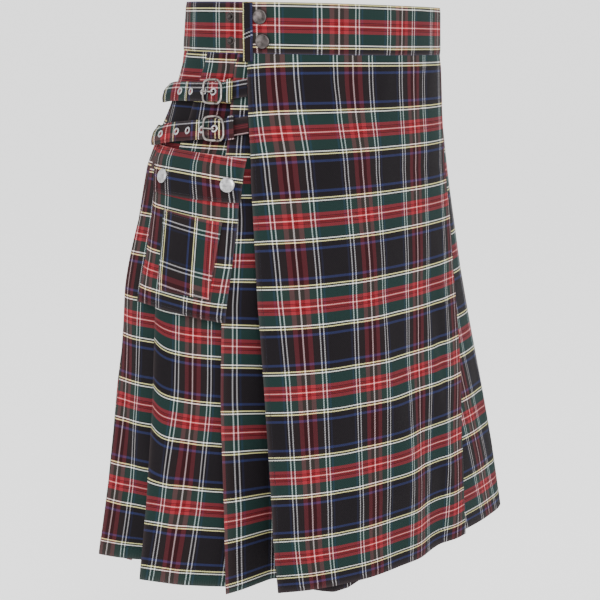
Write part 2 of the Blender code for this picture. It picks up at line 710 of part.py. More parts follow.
def buckle(strap, steel):
    """Frame, centre bar and prong. The strap lies over the bar and under the frame's sides."""
    middle = strap_height(strap, strap.buckle)
    frame = []
    for step in range(20):
        turn = 2 * math.pi * step / 20
        across = math.copysign(abs(math.cos(turn)) ** 0.55, math.cos(turn))
        upward = math.copysign(abs(math.sin(turn)) ** 0.55, math.sin(turn))
        lift = BAR_LIFT + (RAISED_LIFT - BAR_LIFT) * min(1.0, abs(across) / 0.74)
        frame.append(place(strap.buckle + BUCKLE_HALF_WIDTH * across,
                           middle + BUCKLE_HALF_HEIGHT * upward, lift))
    rod(f"buckle_frame_{strap.name}", frame, WIRE, 8, steel, closed=True)

    reach = BUCKLE_HALF_HEIGHT - WIRE - SEAM
    rod(f"buckle_bar_{strap.name}",
        [place(strap.buckle, middle + reach * end, BAR_LIFT) for end in (-1, 0, 1)], BAR, 8, steel)

    over_hole = BUCKLED_LIFT + STRAP_CLOTH / 2 + SEAM + EYELET_HEIGHT + SEAM + PRONG
    path = ((0.0000, BAR_LIFT + BAR + SEAM), (0.0000, over_hole - 0.0004),
            (0.0012, over_hole + 0.0006), (0.0060, over_hole + 0.0012),
            (BUCKLE_HALF_WIDTH + 0.0015, RAISED_LIFT + WIRE + SEAM + PRONG + 0.0002))
    rod(f"buckle_prong_{strap.name}",
        [place(strap.buckle + away, middle, lift) for away, lift in path], PRONG, 6, steel)


def buckle_tab(strap, finish):
    """The short strip that holds the buckle, from under its bar to the over apron's edge."""
    start = between(strap.height, APRON_EDGES, "free") + 2 * SEAM
    end = strap.buckle + 0.004
    grid = []
    for across in (1, 0, -1):
        row = []
        for girth in np.linspace(start, end, 7):
            height = strap_height(strap, min(girth, strap.buckle))
            row.append(place(girth, height + across * TAB_WIDTH / 2, TAB_LIFT))
        grid.append(row)
    return wall(f"buckle_tab_{strap.name}", grid, CLOTH, finish)


def keeper(strap, finish):
    """The loop of cloth that holds the strap's free end down on its tab."""
    half = STRAP_WIDTH / 2 + 0.0012 + KEEPER_CLOTH / 2
    foot = CLOTH / 2 + SEAM + KEEPER_CLOTH / 2
    crown = TIP_LIFT + 0.001 + STRAP_CLOTH / 2 + SEAM + KEEPER_CLOTH / 2
    section = [(-half, foot), (-half, crown - 0.0009), (-half + 0.0009, crown), (0, crown),
               (half - 0.0009, crown), (half, crown - 0.0009), (half, foot)]
    grid = []
    for away in (-KEEPER_WIDTH / 2, 0, KEEPER_WIDTH / 2):
        girth = strap.buckle - KEEPER_PLACE + away
        grid.append([place(girth, strap_height(strap, girth) + across, lift)
                     for across, lift in section])
    return wall(f"keeper_{strap.name}", grid, KEEPER_CLOTH, finish)


# ---- the whole kilt ---------------------------------------------------------------------------
def build():
    """Clears the scene and makes every piece."""
    for thing in list(bpy.data.objects):
        bpy.data.objects.remove(thing, do_unlink=True)
    tartan = material("tartan", (0.07, 0.05, 0.06), 0.85)
    band_cloth = material("tartan_band", (0.12, 0.04, 0.05), 0.85)
    strap_cloth = material("tartan_strap", (0.03, 0.03, 0.06), 0.85)
    pocket_cloth = material("tartan_pocket", (0.03, 0.06, 0.06), 0.85)
    gunmetal = material("gunmetal", (0.15, 0.14, 0.14), 0.30, 1.0)
    silver = material("silver", (0.62, 0.62, 0.63), 0.28, 1.0)

    over_apron(tartan)
    under_apron(tartan)
    pleat_panel("right_hip_pleats", 1, 0, RIGHT_SPLIT, tartan)
    pleat_panel("right_back_pleats", 1, RIGHT_SPLIT, len(RIGHT_FOLDS), tartan)
    pleat_panel("left_hip_pleats", -1, 0, LEFT_SPLIT, tartan)
    pleat_panel("left_back_pleats", -1, LEFT_SPLIT, len(LEFT_FOLDS), tartan)

    waistband("waistband_over", None, BAND_END, lambda girth: 0.0, band_cloth)
    waistband("waistband_under", BAND_START, None, under_band_lift, band_cloth)
    band_end_binding(band_cloth)
    on_band = BAND_CLOTH / 2 + SEAM
    for name, height, cap_girth, stud_girth in SNAPS:
        snap_cap(f"waist_snap_{name}", (cap_girth, height, lambda girth, height: on_band),
                 gunmetal)
        snap_stud(f"waist_stud_{name}",
                  (stud_girth, height, lambda girth, height: under_band_lift(girth) + on_band),
                  gunmetal)

    pocket(pocket_cloth, silver)
    for strap in STRAPS:
        strap_with_holes(strap, strap_cloth)
        eyelets(strap, silver)
        buckle(strap, gunmetal)
        buckle_tab(strap, strap_cloth)
        keeper(strap, strap_cloth)


build()
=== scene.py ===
"""Looks for a tartan wrap kilt: its cloth, its pleats, its hip pocket, its straps and its metal.

Metres, +Z up. The wearer faces -Y, so the wearer's right is -X. Places are given by girth (the
distance round the figure from the front centre, positive to the wearer's right), height and lift
(the distance outwards from the figure). Every cloth carries a map in metres, in which one length
runs across the cloth and the other down it, so the check follows the weave of each cut piece.
"""
from __future__ import annotations

import logging
import math
from dataclasses import dataclass, field
from enum import Enum
from typing import Callable, Optional, Sequence, Union

import bmesh
import bpy
import numpy as np
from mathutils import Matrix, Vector

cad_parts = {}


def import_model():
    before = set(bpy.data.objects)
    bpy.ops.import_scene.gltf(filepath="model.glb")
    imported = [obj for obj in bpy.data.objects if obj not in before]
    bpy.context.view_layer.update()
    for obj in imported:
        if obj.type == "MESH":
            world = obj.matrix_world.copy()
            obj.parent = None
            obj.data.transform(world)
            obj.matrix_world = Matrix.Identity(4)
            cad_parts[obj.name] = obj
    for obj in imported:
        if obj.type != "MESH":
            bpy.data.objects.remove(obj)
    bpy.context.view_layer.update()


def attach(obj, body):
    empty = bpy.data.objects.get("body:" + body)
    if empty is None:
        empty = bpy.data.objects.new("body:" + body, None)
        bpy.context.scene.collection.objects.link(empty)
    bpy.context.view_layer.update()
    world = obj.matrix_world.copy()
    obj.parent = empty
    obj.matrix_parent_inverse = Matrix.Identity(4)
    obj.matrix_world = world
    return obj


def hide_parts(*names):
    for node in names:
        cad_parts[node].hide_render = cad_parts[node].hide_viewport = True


LOG = logging.getLogger("kilt")
Object = bpy.types.Object
Material = bpy.types.Material
Tree = bpy.types.NodeTree
Four = tuple[float, float, float, float]
Colour = Four
Pairs = Sequence[tuple[float, float]]
Array = np.ndarray
LiftAt = Callable[[Array, Array], Array]
TartanAt = Callable[[Array, Array], tuple[Array, Array]]
BODY = "root"
Socket = bpy.types.NodeSocket
Feed = Union[Socket, float, int, tuple]


def linear(red: int, green: int, blue: int) -> Colour:
    """A linear colour from a display colour.

    Args:
        red: Red, from 0 to 255.
        green: Green, from 0 to 255.
        blue: Blue, from 0 to 255.

    Returns:
        The colour as shader sockets take it.
    """
    shares = []
    for value in (red, green, blue):
        share = value / 255
        shares.append(share / 12.92 if share <= 0.04045 else ((share + 0.055) / 1.055) ** 2.4)
    return shares[0], shares[1], shares[2], 1.0


def ramp(value: Array, low: float, high: float) -> Array:
    """A smooth step from 0 at low to 1 at high."""
    share = np.clip((value - low) / (high - low), 0, 1)
    return share * share * (3 - 2 * share)


def window(value: Array, marks: Four) -> Array:
    """1 between the inner two marks and 0 outside the outer two, with smooth steps."""
    return ramp(value, marks[0], marks[1]) * (1 - ramp(value, marks[2], marks[3]))


def column(table: Sequence[object], name: str, heights: Array) -> Array:
    """A column of a table whose rows are heights, read between its rows."""
    return np.interp(-np.asarray(heights), [-row.height for row in table],
                     [getattr(row, name) for row in table])


def spread(first: Array, last: Array, count: int) -> Array:
    """Values from first up to last at every row, in even steps."""
    return first[:, None] + (last - first)[:, None] * np.linspace(0, 1, count)


def unit(vector: Array) -> Array:
    """The direction of a vector."""
    return vector / np.linalg.norm(vector)


# ---- the figure ----
@dataclass(frozen=True)
class Oval:
    """The figure's section at a height."""

    height: float
    half_width: float
    half_depth: float
    centre_x: float
    centre_y: float


@dataclass
class Figure:
    """The form that fills the kilt, and the sizes that all its cloth shares."""

    ovals: tuple[Oval, ...] = (
        Oval(0.026, 0.15, 0.118, 0.004, -0.003),
        Oval(-0.026, 0.153, 0.12, 0.003, -0.002),
        Oval(-0.09, 0.17, 0.126, 0.0, 0.004),
        Oval(-0.15, 0.188, 0.134, -0.004, 0.009),
        Oval(-0.28, 0.207, 0.156, -0.006, 0.013),
        Oval(-0.4, 0.222, 0.175, -0.004, 0.012),
        Oval(-0.5, 0.243, 0.184, 0.006, 0.015),
        Oval(-0.6, 0.267, 0.192, 0.022, 0.026),
    )
    corner: float = 2.45
    top: float = 0.026
    waist: float = -0.026
    hip: float = -0.19
    thigh: float = -0.38
    hem: float = -0.5885
    band_dip: float = 0.0145
    hem_lift_right: float = 0.0206
    hem_lift_front: float = 0.0344
    seam: float = 0.0003
    cloth: float = 0.0012
    step: float = 0.002
    samples: int = 1440
    levels: Array = field(init=False)
    rounds: Array = field(init=False)
    rings: Array = field(init=False)

    def __post_init__(self) -> None:
        """Measures the figure once, at close levels."""
        self.levels = np.arange(0.034, -0.65, -self.step)
        rounds, rings = [], []
        for level in self.levels:
            girth, ring = self._ring(float(level))
            even = np.linspace(0, girth[-1], self.samples + 1)
            rounds.append(girth[-1])
            rings.append([np.interp(even, girth, line) for line in ring])
        self.rounds = np.array(rounds)
        self.rings = np.array(rings)

    def _ring(self, height: float) -> tuple[Array, list[Array]]:
        """Measures the figure's outline at a height.

        Args:
            height: The height.

        Returns:
            Girths round the outline, and its x, y and outward direction at each.
        """
        half_width, half_depth, centre_x, centre_y = (
            column(self.ovals, size, height)
            for size in ("half_width", "half_depth", "centre_x", "centre_y"))
        turn = np.linspace(0, 2 * math.pi, self.samples + 1)
        reach = (np.abs(np.sin(turn) / half_width) ** self.corner
                 + np.abs(np.cos(turn) / half_depth) ** self.corner) ** (-1 / self.corner)
        x = centre_x - np.sin(turn) * reach
        y = centre_y - np.cos(turn) * reach
        step_x, step_y = np.gradient(x), np.gradient(y)
        step_x[0] = step_x[-1] = x[1] - x[-2]
        step_y[0] = step_y[-1] = y[1] - y[-2]
        size = np.hypot(step_x, step_y)
        girth = np.concatenate([[0], np.cumsum(np.hypot(np.diff(x), np.diff(y)))])
        return girth, [x, y, -step_y / size, step_x / size]

    def half_round(self, height: Array) -> Array:
        """Girth of the back centre line at each height."""
        return np.interp(-np.asarray(height), -self.levels, self.rounds) / 2

    def hang(self, height: Array) -> Array:
        """How freely the cloth hangs: 0 down to the hip, 1 at the hem."""
        return np.maximum(0.0, (self.hip - np.asarray(height)) / (self.hip - self.hem))

    def place(self, girth: Array, height: Array, lift: Array) -> Array:
        """Points at girths, heights and lifts.

        Args:
            girth: Girths.
            height: Heights, of a shape that goes with the girths.
            lift: Lifts, of a shape that goes with the girths.

        Returns:
            The points, with x, y and z last.
        """
        girth, height, lift = np.broadcast_arrays(
            np.asarray(girth, float), np.asarray(height, float), np.asarray(lift, float))
        level = np.clip((self.levels[0] - height) / self.step, 0, len(self.levels) - 1.001)
        upper = level.astype(int)
        part = level - upper
        found = 0.0
        for row, weight in ((upper, 1 - part), (upper + 1, part)):
            along = (girth / self.rounds[row] % 1) * self.samples
            first = np.minimum(along.astype(int), self.samples - 1)
            share = (along - first)[..., None]
            found = found + weight[..., None] * (self.rings[row, :, first] * (1 - share)
                                                 + self.rings[row, :, first + 1] * share)
        x = found[..., 0] + lift * found[..., 2]
        y = found[..., 1] + lift * found[..., 3]
        worn = np.clip((height - self.hip) / (self.waist - self.hip), 0, 1)
        tilt = (worn * self.band_dip * (y - x)
                - self.hang(height) * (self.hem_lift_right * x + self.hem_lift_front * y))
        return np.stack([x, y, height + tilt], axis=-1)

    def axes(self, girth: float, height: float, lift_at: LiftAt
             ) -> tuple[Array, Array, Array, Array]:
        """A point of a surface and the directions there.

        Args:
            girth: Girth of the point.
            height: Its height.
            lift_at: The surface's lift by girth and height.

        Returns:
            The point, and unit vectors along the girth, upwards and outwards.
        """
        near = 0.004
        girths = np.array([girth, girth + near, girth - near, girth, girth])
        heights = np.array([height, height, height, height + near, height - near])
        spots = self.place(girths, heights, lift_at(girths, heights))
        along = unit(spots[1] - spots[2])
        out = unit(np.cross(along, -unit(spots[3] - spots[4])))
        return spots[0], along, np.cross(along, out), out


FIGURE = Figure()


# ---- creases ----
@dataclass(frozen=True)
class Crease:
    """A soft trough or ridge in the cloth, which runs down from a place and fades at its ends.

    Fields:
        girth: Where it starts.
        top: Height of its upper end.
        foot: Height of its lower end.
        lean: How far it moves round, per metre down.
        width: Half its width.
        depth: How far it stands out. A trough is below 0.
    """

    girth: float
    top: float
    foot: float
    lean: float
    width: float
    depth: float

    def at(self, girth: Array, height: Array) -> Array:
        """How far it moves the cloth.

        Args:
            girth: Girths of the places.
            height: Their heights.

        Returns:
            The lift that it adds at each place.
        """
        down = np.clip((self.top - height) / (self.top - self.foot), -0.2, 1.2)
        middle = self.girth + self.lean * (self.top - height)
        away = (girth - middle) / (self.width * (0.75 + 0.5 * down))
        return self.depth * window(down, (-0.08, 0.3, 0.62, 1.08)) * np.exp(-away * away)


@dataclass
class Drape:
    """The creases that all the layers of the skirt share, so that none cuts through another."""

    creases: tuple[Crease, ...] = (
        # over apron: pulls from the snaps, then soft hanging folds
        Crease(0.15, -0.03, -0.105, -0.3, 0.01, -0.0011),
        Crease(0.12, -0.028, -0.092, -0.55, 0.009, 0.001),
        Crease(0.084, -0.03, -0.12, -0.2, 0.013, -0.0009),
        Crease(0.02, -0.03, -0.15, 0.12, 0.014, 0.001),
        Crease(-0.052, -0.032, -0.128, 0.1, 0.012, -0.001),
        Crease(0.142, -0.17, -0.33, 0.05, 0.016, 0.0012),
        Crease(0.098, -0.22, -0.52, 0.02, 0.018, -0.0022),
        Crease(0.056, -0.26, -0.64, -0.04, 0.02, 0.0026),
        Crease(0.012, -0.33, -0.64, -0.05, 0.018, -0.0024),
        Crease(-0.028, -0.3, -0.65, -0.06, 0.015, 0.0024),
        Crease(0.17, -0.36, -0.66, 0.06, 0.016, 0.0018),
        Crease(0.13, -0.43, -0.67, 0.03, 0.014, -0.0016),
        Crease(-0.066, -0.24, -0.47, 0.02, 0.013, 0.0014),
        # right hip and its pleats
        Crease(0.232, -0.036, -0.1, 0.25, 0.011, 0.001),
        Crease(0.268, -0.04, -0.118, 0.1, 0.01, -0.0009),
        Crease(0.305, -0.034, -0.126, -0.12, 0.012, 0.0009),
        Crease(0.235, -0.33, -0.64, 0.1, 0.012, 0.0014),
        Crease(0.292, -0.3, -0.56, 0.06, 0.014, -0.0016),
        Crease(0.322, -0.35, -0.65, 0.02, 0.011, 0.0016),
        Crease(0.368, -0.26, -0.52, 0.04, 0.014, 0.0014),
        Crease(0.404, -0.36, -0.65, -0.03, 0.013, -0.0015),
        Crease(0.372, -0.06, -0.36, 0.0, 0.032, 0.0065),
        # back, both sides of the box pleat
        Crease(0.436, -0.034, -0.116, 0.1, 0.012, 0.0009),
        Crease(0.462, -0.25, -0.56, 0.04, 0.015, 0.0017),
        Crease(0.516, -0.32, -0.65, 0.02, 0.013, -0.0016),
        Crease(-0.452, -0.036, -0.13, -0.1, 0.011, -0.0008),
        Crease(-0.52, -0.27, -0.61, -0.03, 0.014, 0.0016),
        Crease(-0.47, -0.34, -0.65, 0.02, 0.016, -0.0017),
        Crease(-0.408, -0.24, -0.5, -0.05, 0.014, 0.0015),
        # left hip
        Crease(-0.352, -0.034, -0.11, -0.15, 0.012, 0.001),
        Crease(-0.296, -0.036, -0.14, 0.08, 0.011, -0.0009),
        Crease(-0.236, -0.032, -0.104, -0.05, 0.012, 0.0009),
        Crease(-0.345, -0.31, -0.64, -0.06, 0.015, 0.0018),
        Crease(-0.3, -0.23, -0.48, 0.02, 0.013, -0.0014),
        Crease(-0.255, -0.34, -0.65, -0.02, 0.014, 0.0016),
        Crease(-0.205, -0.28, -0.6, -0.05, 0.013, -0.0014),
        Crease(-0.16, -0.35, -0.65, -0.04, 0.012, 0.0015),
    )

    def lift(self, girth: Array, height: Array) -> Array:
        """How far the creases move the cloth.

        Args:
            girth: Girths, which may run past the back centre.
            height: Heights.

        Returns:
            The lift that they add at each place.
        """
        girth, height = np.broadcast_arrays(np.asarray(girth, float), np.asarray(height, float))
        whole = 2 * FIGURE.half_round(height)
        near = np.where(girth > whole / 2, girth - whole, girth)
        near = np.where(near < -whole / 2, near + whole, near)
        return sum(crease.at(near, height) for crease in self.creases)


DRAPE = Drape()


# ---- meshes ----
def put(name: str, data: bpy.types.ID) -> Object:
    """An object in the scene from a mesh, a light or a camera."""
    thing = bpy.data.objects.new(name, data)
    bpy.context.scene.collection.objects.link(thing)
    return thing


def link(name: str, data: bpy.types.Mesh, finish: Material, angle: float) -> Object:
    """An object in the scene from a finished mesh.

    Args:
        name: The piece's name.
        data: Its mesh, with its place in it.
        finish: Its material.
        angle: Edges that turn more than this many degrees stay sharp.

    Returns:
        The object.
    """
    data.name = name
    if not data.materials:
        data.materials.append(finish)
    data.shade_smooth()
    data.set_sharp_from_angle(angle=math.radians(angle))
    return put(name, data)


def shell(name: str, grid: Array, cloth_map: Array, thickness: Array | float,
          finish: Material, wear: Array) -> Object:
    """A closed sheet of cloth round a grid of points on its middle.

    Args:
        name: The piece's name.
        grid: Points, a row of them along the cloth.
        cloth_map: For each point, its place across and down the cloth, in metres.
        thickness: The cloth's thickness, or one for each point.
        finish: Its material.
        wear: For each point, how rubbed the cloth is, from 0 to 1.

    Returns:
        The object.
    """
    rows, columns = grid.shape[:2]
    along = np.diff(grid, axis=1)
    along /= np.maximum(np.linalg.norm(along, axis=2, keepdims=True), 1e-9)
    before = np.concatenate([along[:, :1], along], axis=1)
    after = np.concatenate([along, along[:, -1:]], axis=1)
    out = np.cross(before + after, np.gradient(grid, axis=0))
    out /= np.maximum(np.linalg.norm(out, axis=2, keepdims=True), 1e-12)
    half_turn = np.sqrt(np.clip((1 + (before * after).sum(axis=2, keepdims=True)) / 2, 0.3, 1))
    wall = np.broadcast_to(np.asarray(thickness, float), (rows, columns))[..., None]
    shift = out * wall / 2 / half_turn
    points = np.concatenate([(grid + shift).reshape(-1, 3), (grid - shift).reshape(-1, 3)])

    number = np.arange(rows * columns).reshape(rows, columns)
    a, b, c, d = number[:-1, :-1], number[1:, :-1], number[1:, 1:], number[:-1, 1:]
    back = rows * columns
    rim = np.concatenate([number[0, :], number[1:, -1], number[-1, -2::-1], number[-2:0:-1, 0]])
    ahead = np.roll(rim, -1)
    faces = np.concatenate([np.stack([a, b, c, d], axis=-1).reshape(-1, 4),
                            np.stack([a, d, c, b], axis=-1).reshape(-1, 4) + back,
                            np.stack([rim, ahead, ahead + back, rim + back], axis=-1)])
    data = bpy.data.meshes.new(name)
    data.vertices.add(len(points))
    data.vertices.foreach_set("co", points.astype(np.float32).ravel())
    data.loops.add(faces.size)
    data.loops.foreach_set("vertex_index", faces.astype(np.int32).ravel())
    data.polygons.add(len(faces))
    data.polygons.foreach_set("loop_start", np.arange(0, faces.size, 4, dtype=np.int32))
    data.update(calc_edges=True)
    spots = np.concatenate([cloth_map.reshape(-1, 2)] * 2)[faces.ravel()]
    data.uv_layers.new(name="cloth").data.foreach_set("uv", spots.astype(np.float32).ravel())
    rubbed = np.concatenate([np.broadcast_to(wear, (rows, columns)).ravel()] * 2)
    data.attributes.new("wear", "FLOAT", "POINT").data.foreach_set(
        "value", rubbed.astype(np.float32))
    data.validate()
    return link(name, data, finish, 55)


def ringed(name: str, mesh: bmesh.types.BMesh, rings: Sequence[Sequence[bmesh.types.BMVert]],
           finish: Material, angle: float) -> Object:
    """A skin over rings of points.

    Args:
        name: The piece's name.
        mesh: The mesh that has the points, which is used up.
        rings: The rings, in order. One that is a single point repeats it.
        finish: Its material.
        angle: Edges that turn more than this many degrees stay sharp.

    Returns:
        The object.
    """
    for low, high in zip(rings, rings[1:]):
        for side in range(len(low)):
            other = (side + 1) % len(low)
            corners = (low[side], low[other], high[other], high[side])
            mesh.faces.new(list(dict.fromkeys(corners)))
    bmesh.ops.recalc_face_normals(mesh, faces=mesh.faces)
    data = bpy.data.meshes.new(name)
    mesh.to_mesh(data)
    mesh.free()
    return link(name, data, finish, angle)


def turned(name: str, spot: tuple[float, float, LiftAt], profile: Pairs,
           sides: int, finish: Material, closed: bool = False) -> Object:
    """A profile of radius and rise, turned about the outward direction at a spot.

    Args:
        name: The piece's name.
        spot: Girth, height and the lift of the surface it stands on.
        profile: Pairs of radius and rise. An open profile starts and ends on the axis.
        sides: Steps round the axis.
        finish: Its material.
        closed: Whether the profile closes on itself, which makes a ring.

    Returns:
        The object.
    """
    origin, along, up, out = FIGURE.axes(*spot)
    mesh = bmesh.new()
    turns = [2 * math.pi * side / sides for side in range(sides)]
    rings = []
    for radius, rise in profile:
        if radius:
            rings.append([mesh.verts.new(origin + out * rise + radius * (
                along * math.cos(turn) + up * math.sin(turn))) for turn in turns])
        else:
            rings.append([mesh.verts.new(origin + out * rise)] * sides)
    return ringed(name, mesh, rings + rings[:closed], finish, 30)


def rod(name: str, path: Array, radius: float | Sequence[float], sides: int,
        finish: Material, closed: bool = False) -> Object:
    """A round bar along a path.

    Args:
        name: The piece's name.
        path: Its points.
        radius: Its radius, or one for each point.
        sides: Steps round it.
        finish: Its material.
        closed: Whether it is joined end to end.

    Returns:
        The object.
    """
    count = len(path)
    sizes = np.broadcast_to(np.asarray(radius, float), (count,))
    mesh = bmesh.new()
    rings = []
    across = None
    for i, point in enumerate(path):
        ahead = (path[(i + 1) % count] - path[i - 1] if closed
                 else path[min(i + 1, count - 1)] - path[max(i - 1, 0)])
        ahead = unit(ahead)
        if across is None:
            across = np.cross(ahead, (0.0, 0.0, 1.0))
            if np.linalg.norm(across) < 0.1:
                across = np.cross(ahead, (1.0, 0.0, 0.0))
        across = unit(across - ahead * (across @ ahead))
        other = np.cross(ahead, across)
        rings.append([mesh.verts.new(point + sizes[i] * (across * math.cos(turn)
                                                        + other * math.sin(turn)))
                      for turn in (2 * math.pi * side / sides for side in range(sides))])
    if closed:
        turn = min(range(sides), key=lambda k: (rings[0][k].co - rings[-1][0].co).length)
        rings.append(rings[0][turn:] + rings[0][:turn])
    else:
        mesh.faces.new(rings[0][::-1])
        mesh.faces.new(rings[-1])
    return ringed(name, mesh, rings, finish, 40)


# ---- finishes ----
def add_node(tree: Tree, kind: str, feeds: dict[int | str, Feed],
             **settings: str) -> bpy.types.Node:
    """Adds a node to a tree.

    Args:
        tree: The tree.
        kind: The node's type.
        feeds: For each input, the socket that feeds it or its fixed value.
        settings: The node's own settings.

    Returns:
        The node.
    """
    node = tree.nodes.new(kind)
    for name, value in settings.items():
        setattr(node, name, value)
    for place, value in feeds.items():
        feed(tree, node.inputs[place], value)
    return node


def feed(tree: Tree, entry: Socket, value: Feed) -> None:
    """Links a socket to an input, or sets the input itself to a fixed value."""
    if isinstance(value, Socket):
        tree.links.new(value, entry)
    else:
        entry.default_value = value


class Paint:
    """A material in the making, and the nodes that the finishes share."""

    def __init__(self, name: str) -> None:
        """Starts a material that has only its shader."""
        self.material = bpy.data.materials.new(name)
        self.material.use_nodes = True
        self.tree = self.material.node_tree

    def add(self, kind: str, feeds: dict[int | str, Feed], out: int | str = 0,
            **settings: str) -> Socket:
        """Adds a shader node, and gives one of its outputs."""
        return add_node(self.tree, "ShaderNode" + kind, feeds, **settings).outputs[out]

    def math(self, operation: str, *feeds: Feed) -> Socket:
        """A calculation on sockets and numbers."""
        return self.add("Math", dict(enumerate(feeds)), operation=operation)

    def mix(self, share: Feed, first: Feed, second: Feed) -> Socket:
        """A mix of two colours."""
        return self.add("Mix", {0: share, 6: first, 7: second}, 2, data_type="RGBA")

    def spread(self, value: Feed, low: float, high: float) -> Socket:
        """A value from 0 to 1, spread from low to high."""
        return self.add("MapRange", {0: value, 3: low, 4: high})

    def noise(self, scale: float, detail: float, seed: float = 0.0) -> Socket:
        """Noise in the object's own space."""
        return self.add("TexNoise", {"W": seed, "Scale": scale, "Detail": detail, "Vector":
                                     self.add("TexCoord", {}, "Object")}, noise_dimensions="4D")

    def dress(self, relief: Feed, depth: float, strength: float, inputs: dict[str, Feed]
              ) -> Material:
        """Sets the shader's own sockets and its relief.

        Args:
            relief: Height of the surface's relief.
            depth: How deep the relief is, in metres.
            strength: How much it shows.
            inputs: For each input of the shader, the socket that feeds it or its fixed value.

        Returns:
            The material.
        """
        bump = self.add("Bump", {"Strength": strength, "Distance": depth, "Height": relief})
        shader = self.tree.nodes["Principled BSDF"]
        for name, value in {**inputs, "Normal": bump}.items():
            feed(self.tree, shader.inputs[name], value)
        return self.material


@dataclass(frozen=True)
class Stripe:
    """A stripe of a sett, up to a distance from the middle of its red band."""

    upto: float
    colour: Colour


def dye(red: float, green: float, blue: float) -> Colour:
    """A dye on the cloth's own scale, which a power of DYE_POWER turns into a linear colour."""
    return red, green, blue, 1.0


DYE_POWER = 2.2
WEFT_BLACK = dye(0.135, 0.105, 0.115)
WEFT_NIGHT = dye(0.22, 0.085, 0.1)
WEFT_BLUE = dye(0.175, 0.175, 0.3)
WEFT_GREEN = dye(0.14, 0.2, 0.188)
WEFT_RED = dye(0.478, 0.168, 0.192)
WEFT_WINE = dye(0.5, 0.145, 0.165)
WEFT_HAIR = dye(0.86, 0.56, 0.55)
WEFT_WHITE = dye(0.88, 0.88, 0.845)
WEFT_YELLOW = dye(0.885, 0.85, 0.585)
WARP_BLACK = dye(0.045, 0.078, 0.082)
WARP_BROWN = dye(0.19, 0.036, 0.04)
WARP_BLUE = dye(0.07, 0.12, 0.195)
WARP_GREEN = dye(0.098, 0.103, 0.094)
WARP_RED = dye(0.395, 0.134, 0.152)
WARP_HAIR = dye(0.92, 0.78, 0.78)
WARP_WHITE = dye(0.86, 0.88, 0.88)


@dataclass(frozen=True)
class Sett:
    """A mirrored run of stripes, from the middle of the red band to the middle of the black.

    Fields:
        length: Distance between the middles of two red bands.
        stripes: The stripes, from the red middle outwards.
    """

    length: float
    stripes: tuple[Stripe, ...]

    def colour(self, paint: Paint, place: Socket) -> Socket:
        """Adds the sett's colour to a material.

        Args:
            paint: The material.
            place: A distance along the cloth, in metres.

        Returns:
            The socket with the colour.
        """
        mirrored = paint.math("PINGPONG", paint.math("DIVIDE", place, self.length), 0.5)
        stripes = add_node(paint.tree, "ShaderNodeValToRGB",
                           {0: paint.math("MULTIPLY", mirrored, 2.0)})
        band = stripes.color_ramp
        band.interpolation = "CONSTANT"
        band.elements.remove(band.elements[1])
        start = 0.0
        for stripe in self.stripes:
            stop = band.elements.new(start) if start else band.elements[0]
            stop.color = stripe.colour
            start = stripe.upto / self.length * 2
        return stripes.outputs[0]


WEFT = Sett(0.0892, (
    Stripe(0.00042, WEFT_HAIR), Stripe(0.00175, WEFT_WINE), Stripe(0.00235, WEFT_NIGHT),
    Stripe(0.0033, WEFT_WINE), Stripe(0.004, WEFT_NIGHT), Stripe(0.0074, WEFT_RED),
    Stripe(0.01784, WEFT_GREEN), Stripe(0.01872, WEFT_BLACK), Stripe(0.01988, WEFT_WHITE),
    Stripe(0.0216, WEFT_BLACK), Stripe(0.02276, WEFT_YELLOW), Stripe(0.0279, WEFT_BLACK),
    Stripe(0.0306, WEFT_BLUE), Stripe(0.0446, WEFT_BLACK)))
WARP = Sett(0.08, (
    Stripe(0.00072, WARP_HAIR), Stripe(0.005, WARP_BROWN),
    Stripe(0.01, WARP_RED), Stripe(0.0106, WARP_BLACK), Stripe(0.0165, WARP_GREEN),
    Stripe(0.01726, WARP_BLACK), Stripe(0.01854, WARP_WHITE), Stripe(0.02126, WARP_BLACK),
    Stripe(0.02254, WARP_WHITE), Stripe(0.0243, WARP_BLACK), Stripe(0.0264, WARP_BLUE),
    Stripe(0.04, WARP_BLACK)))


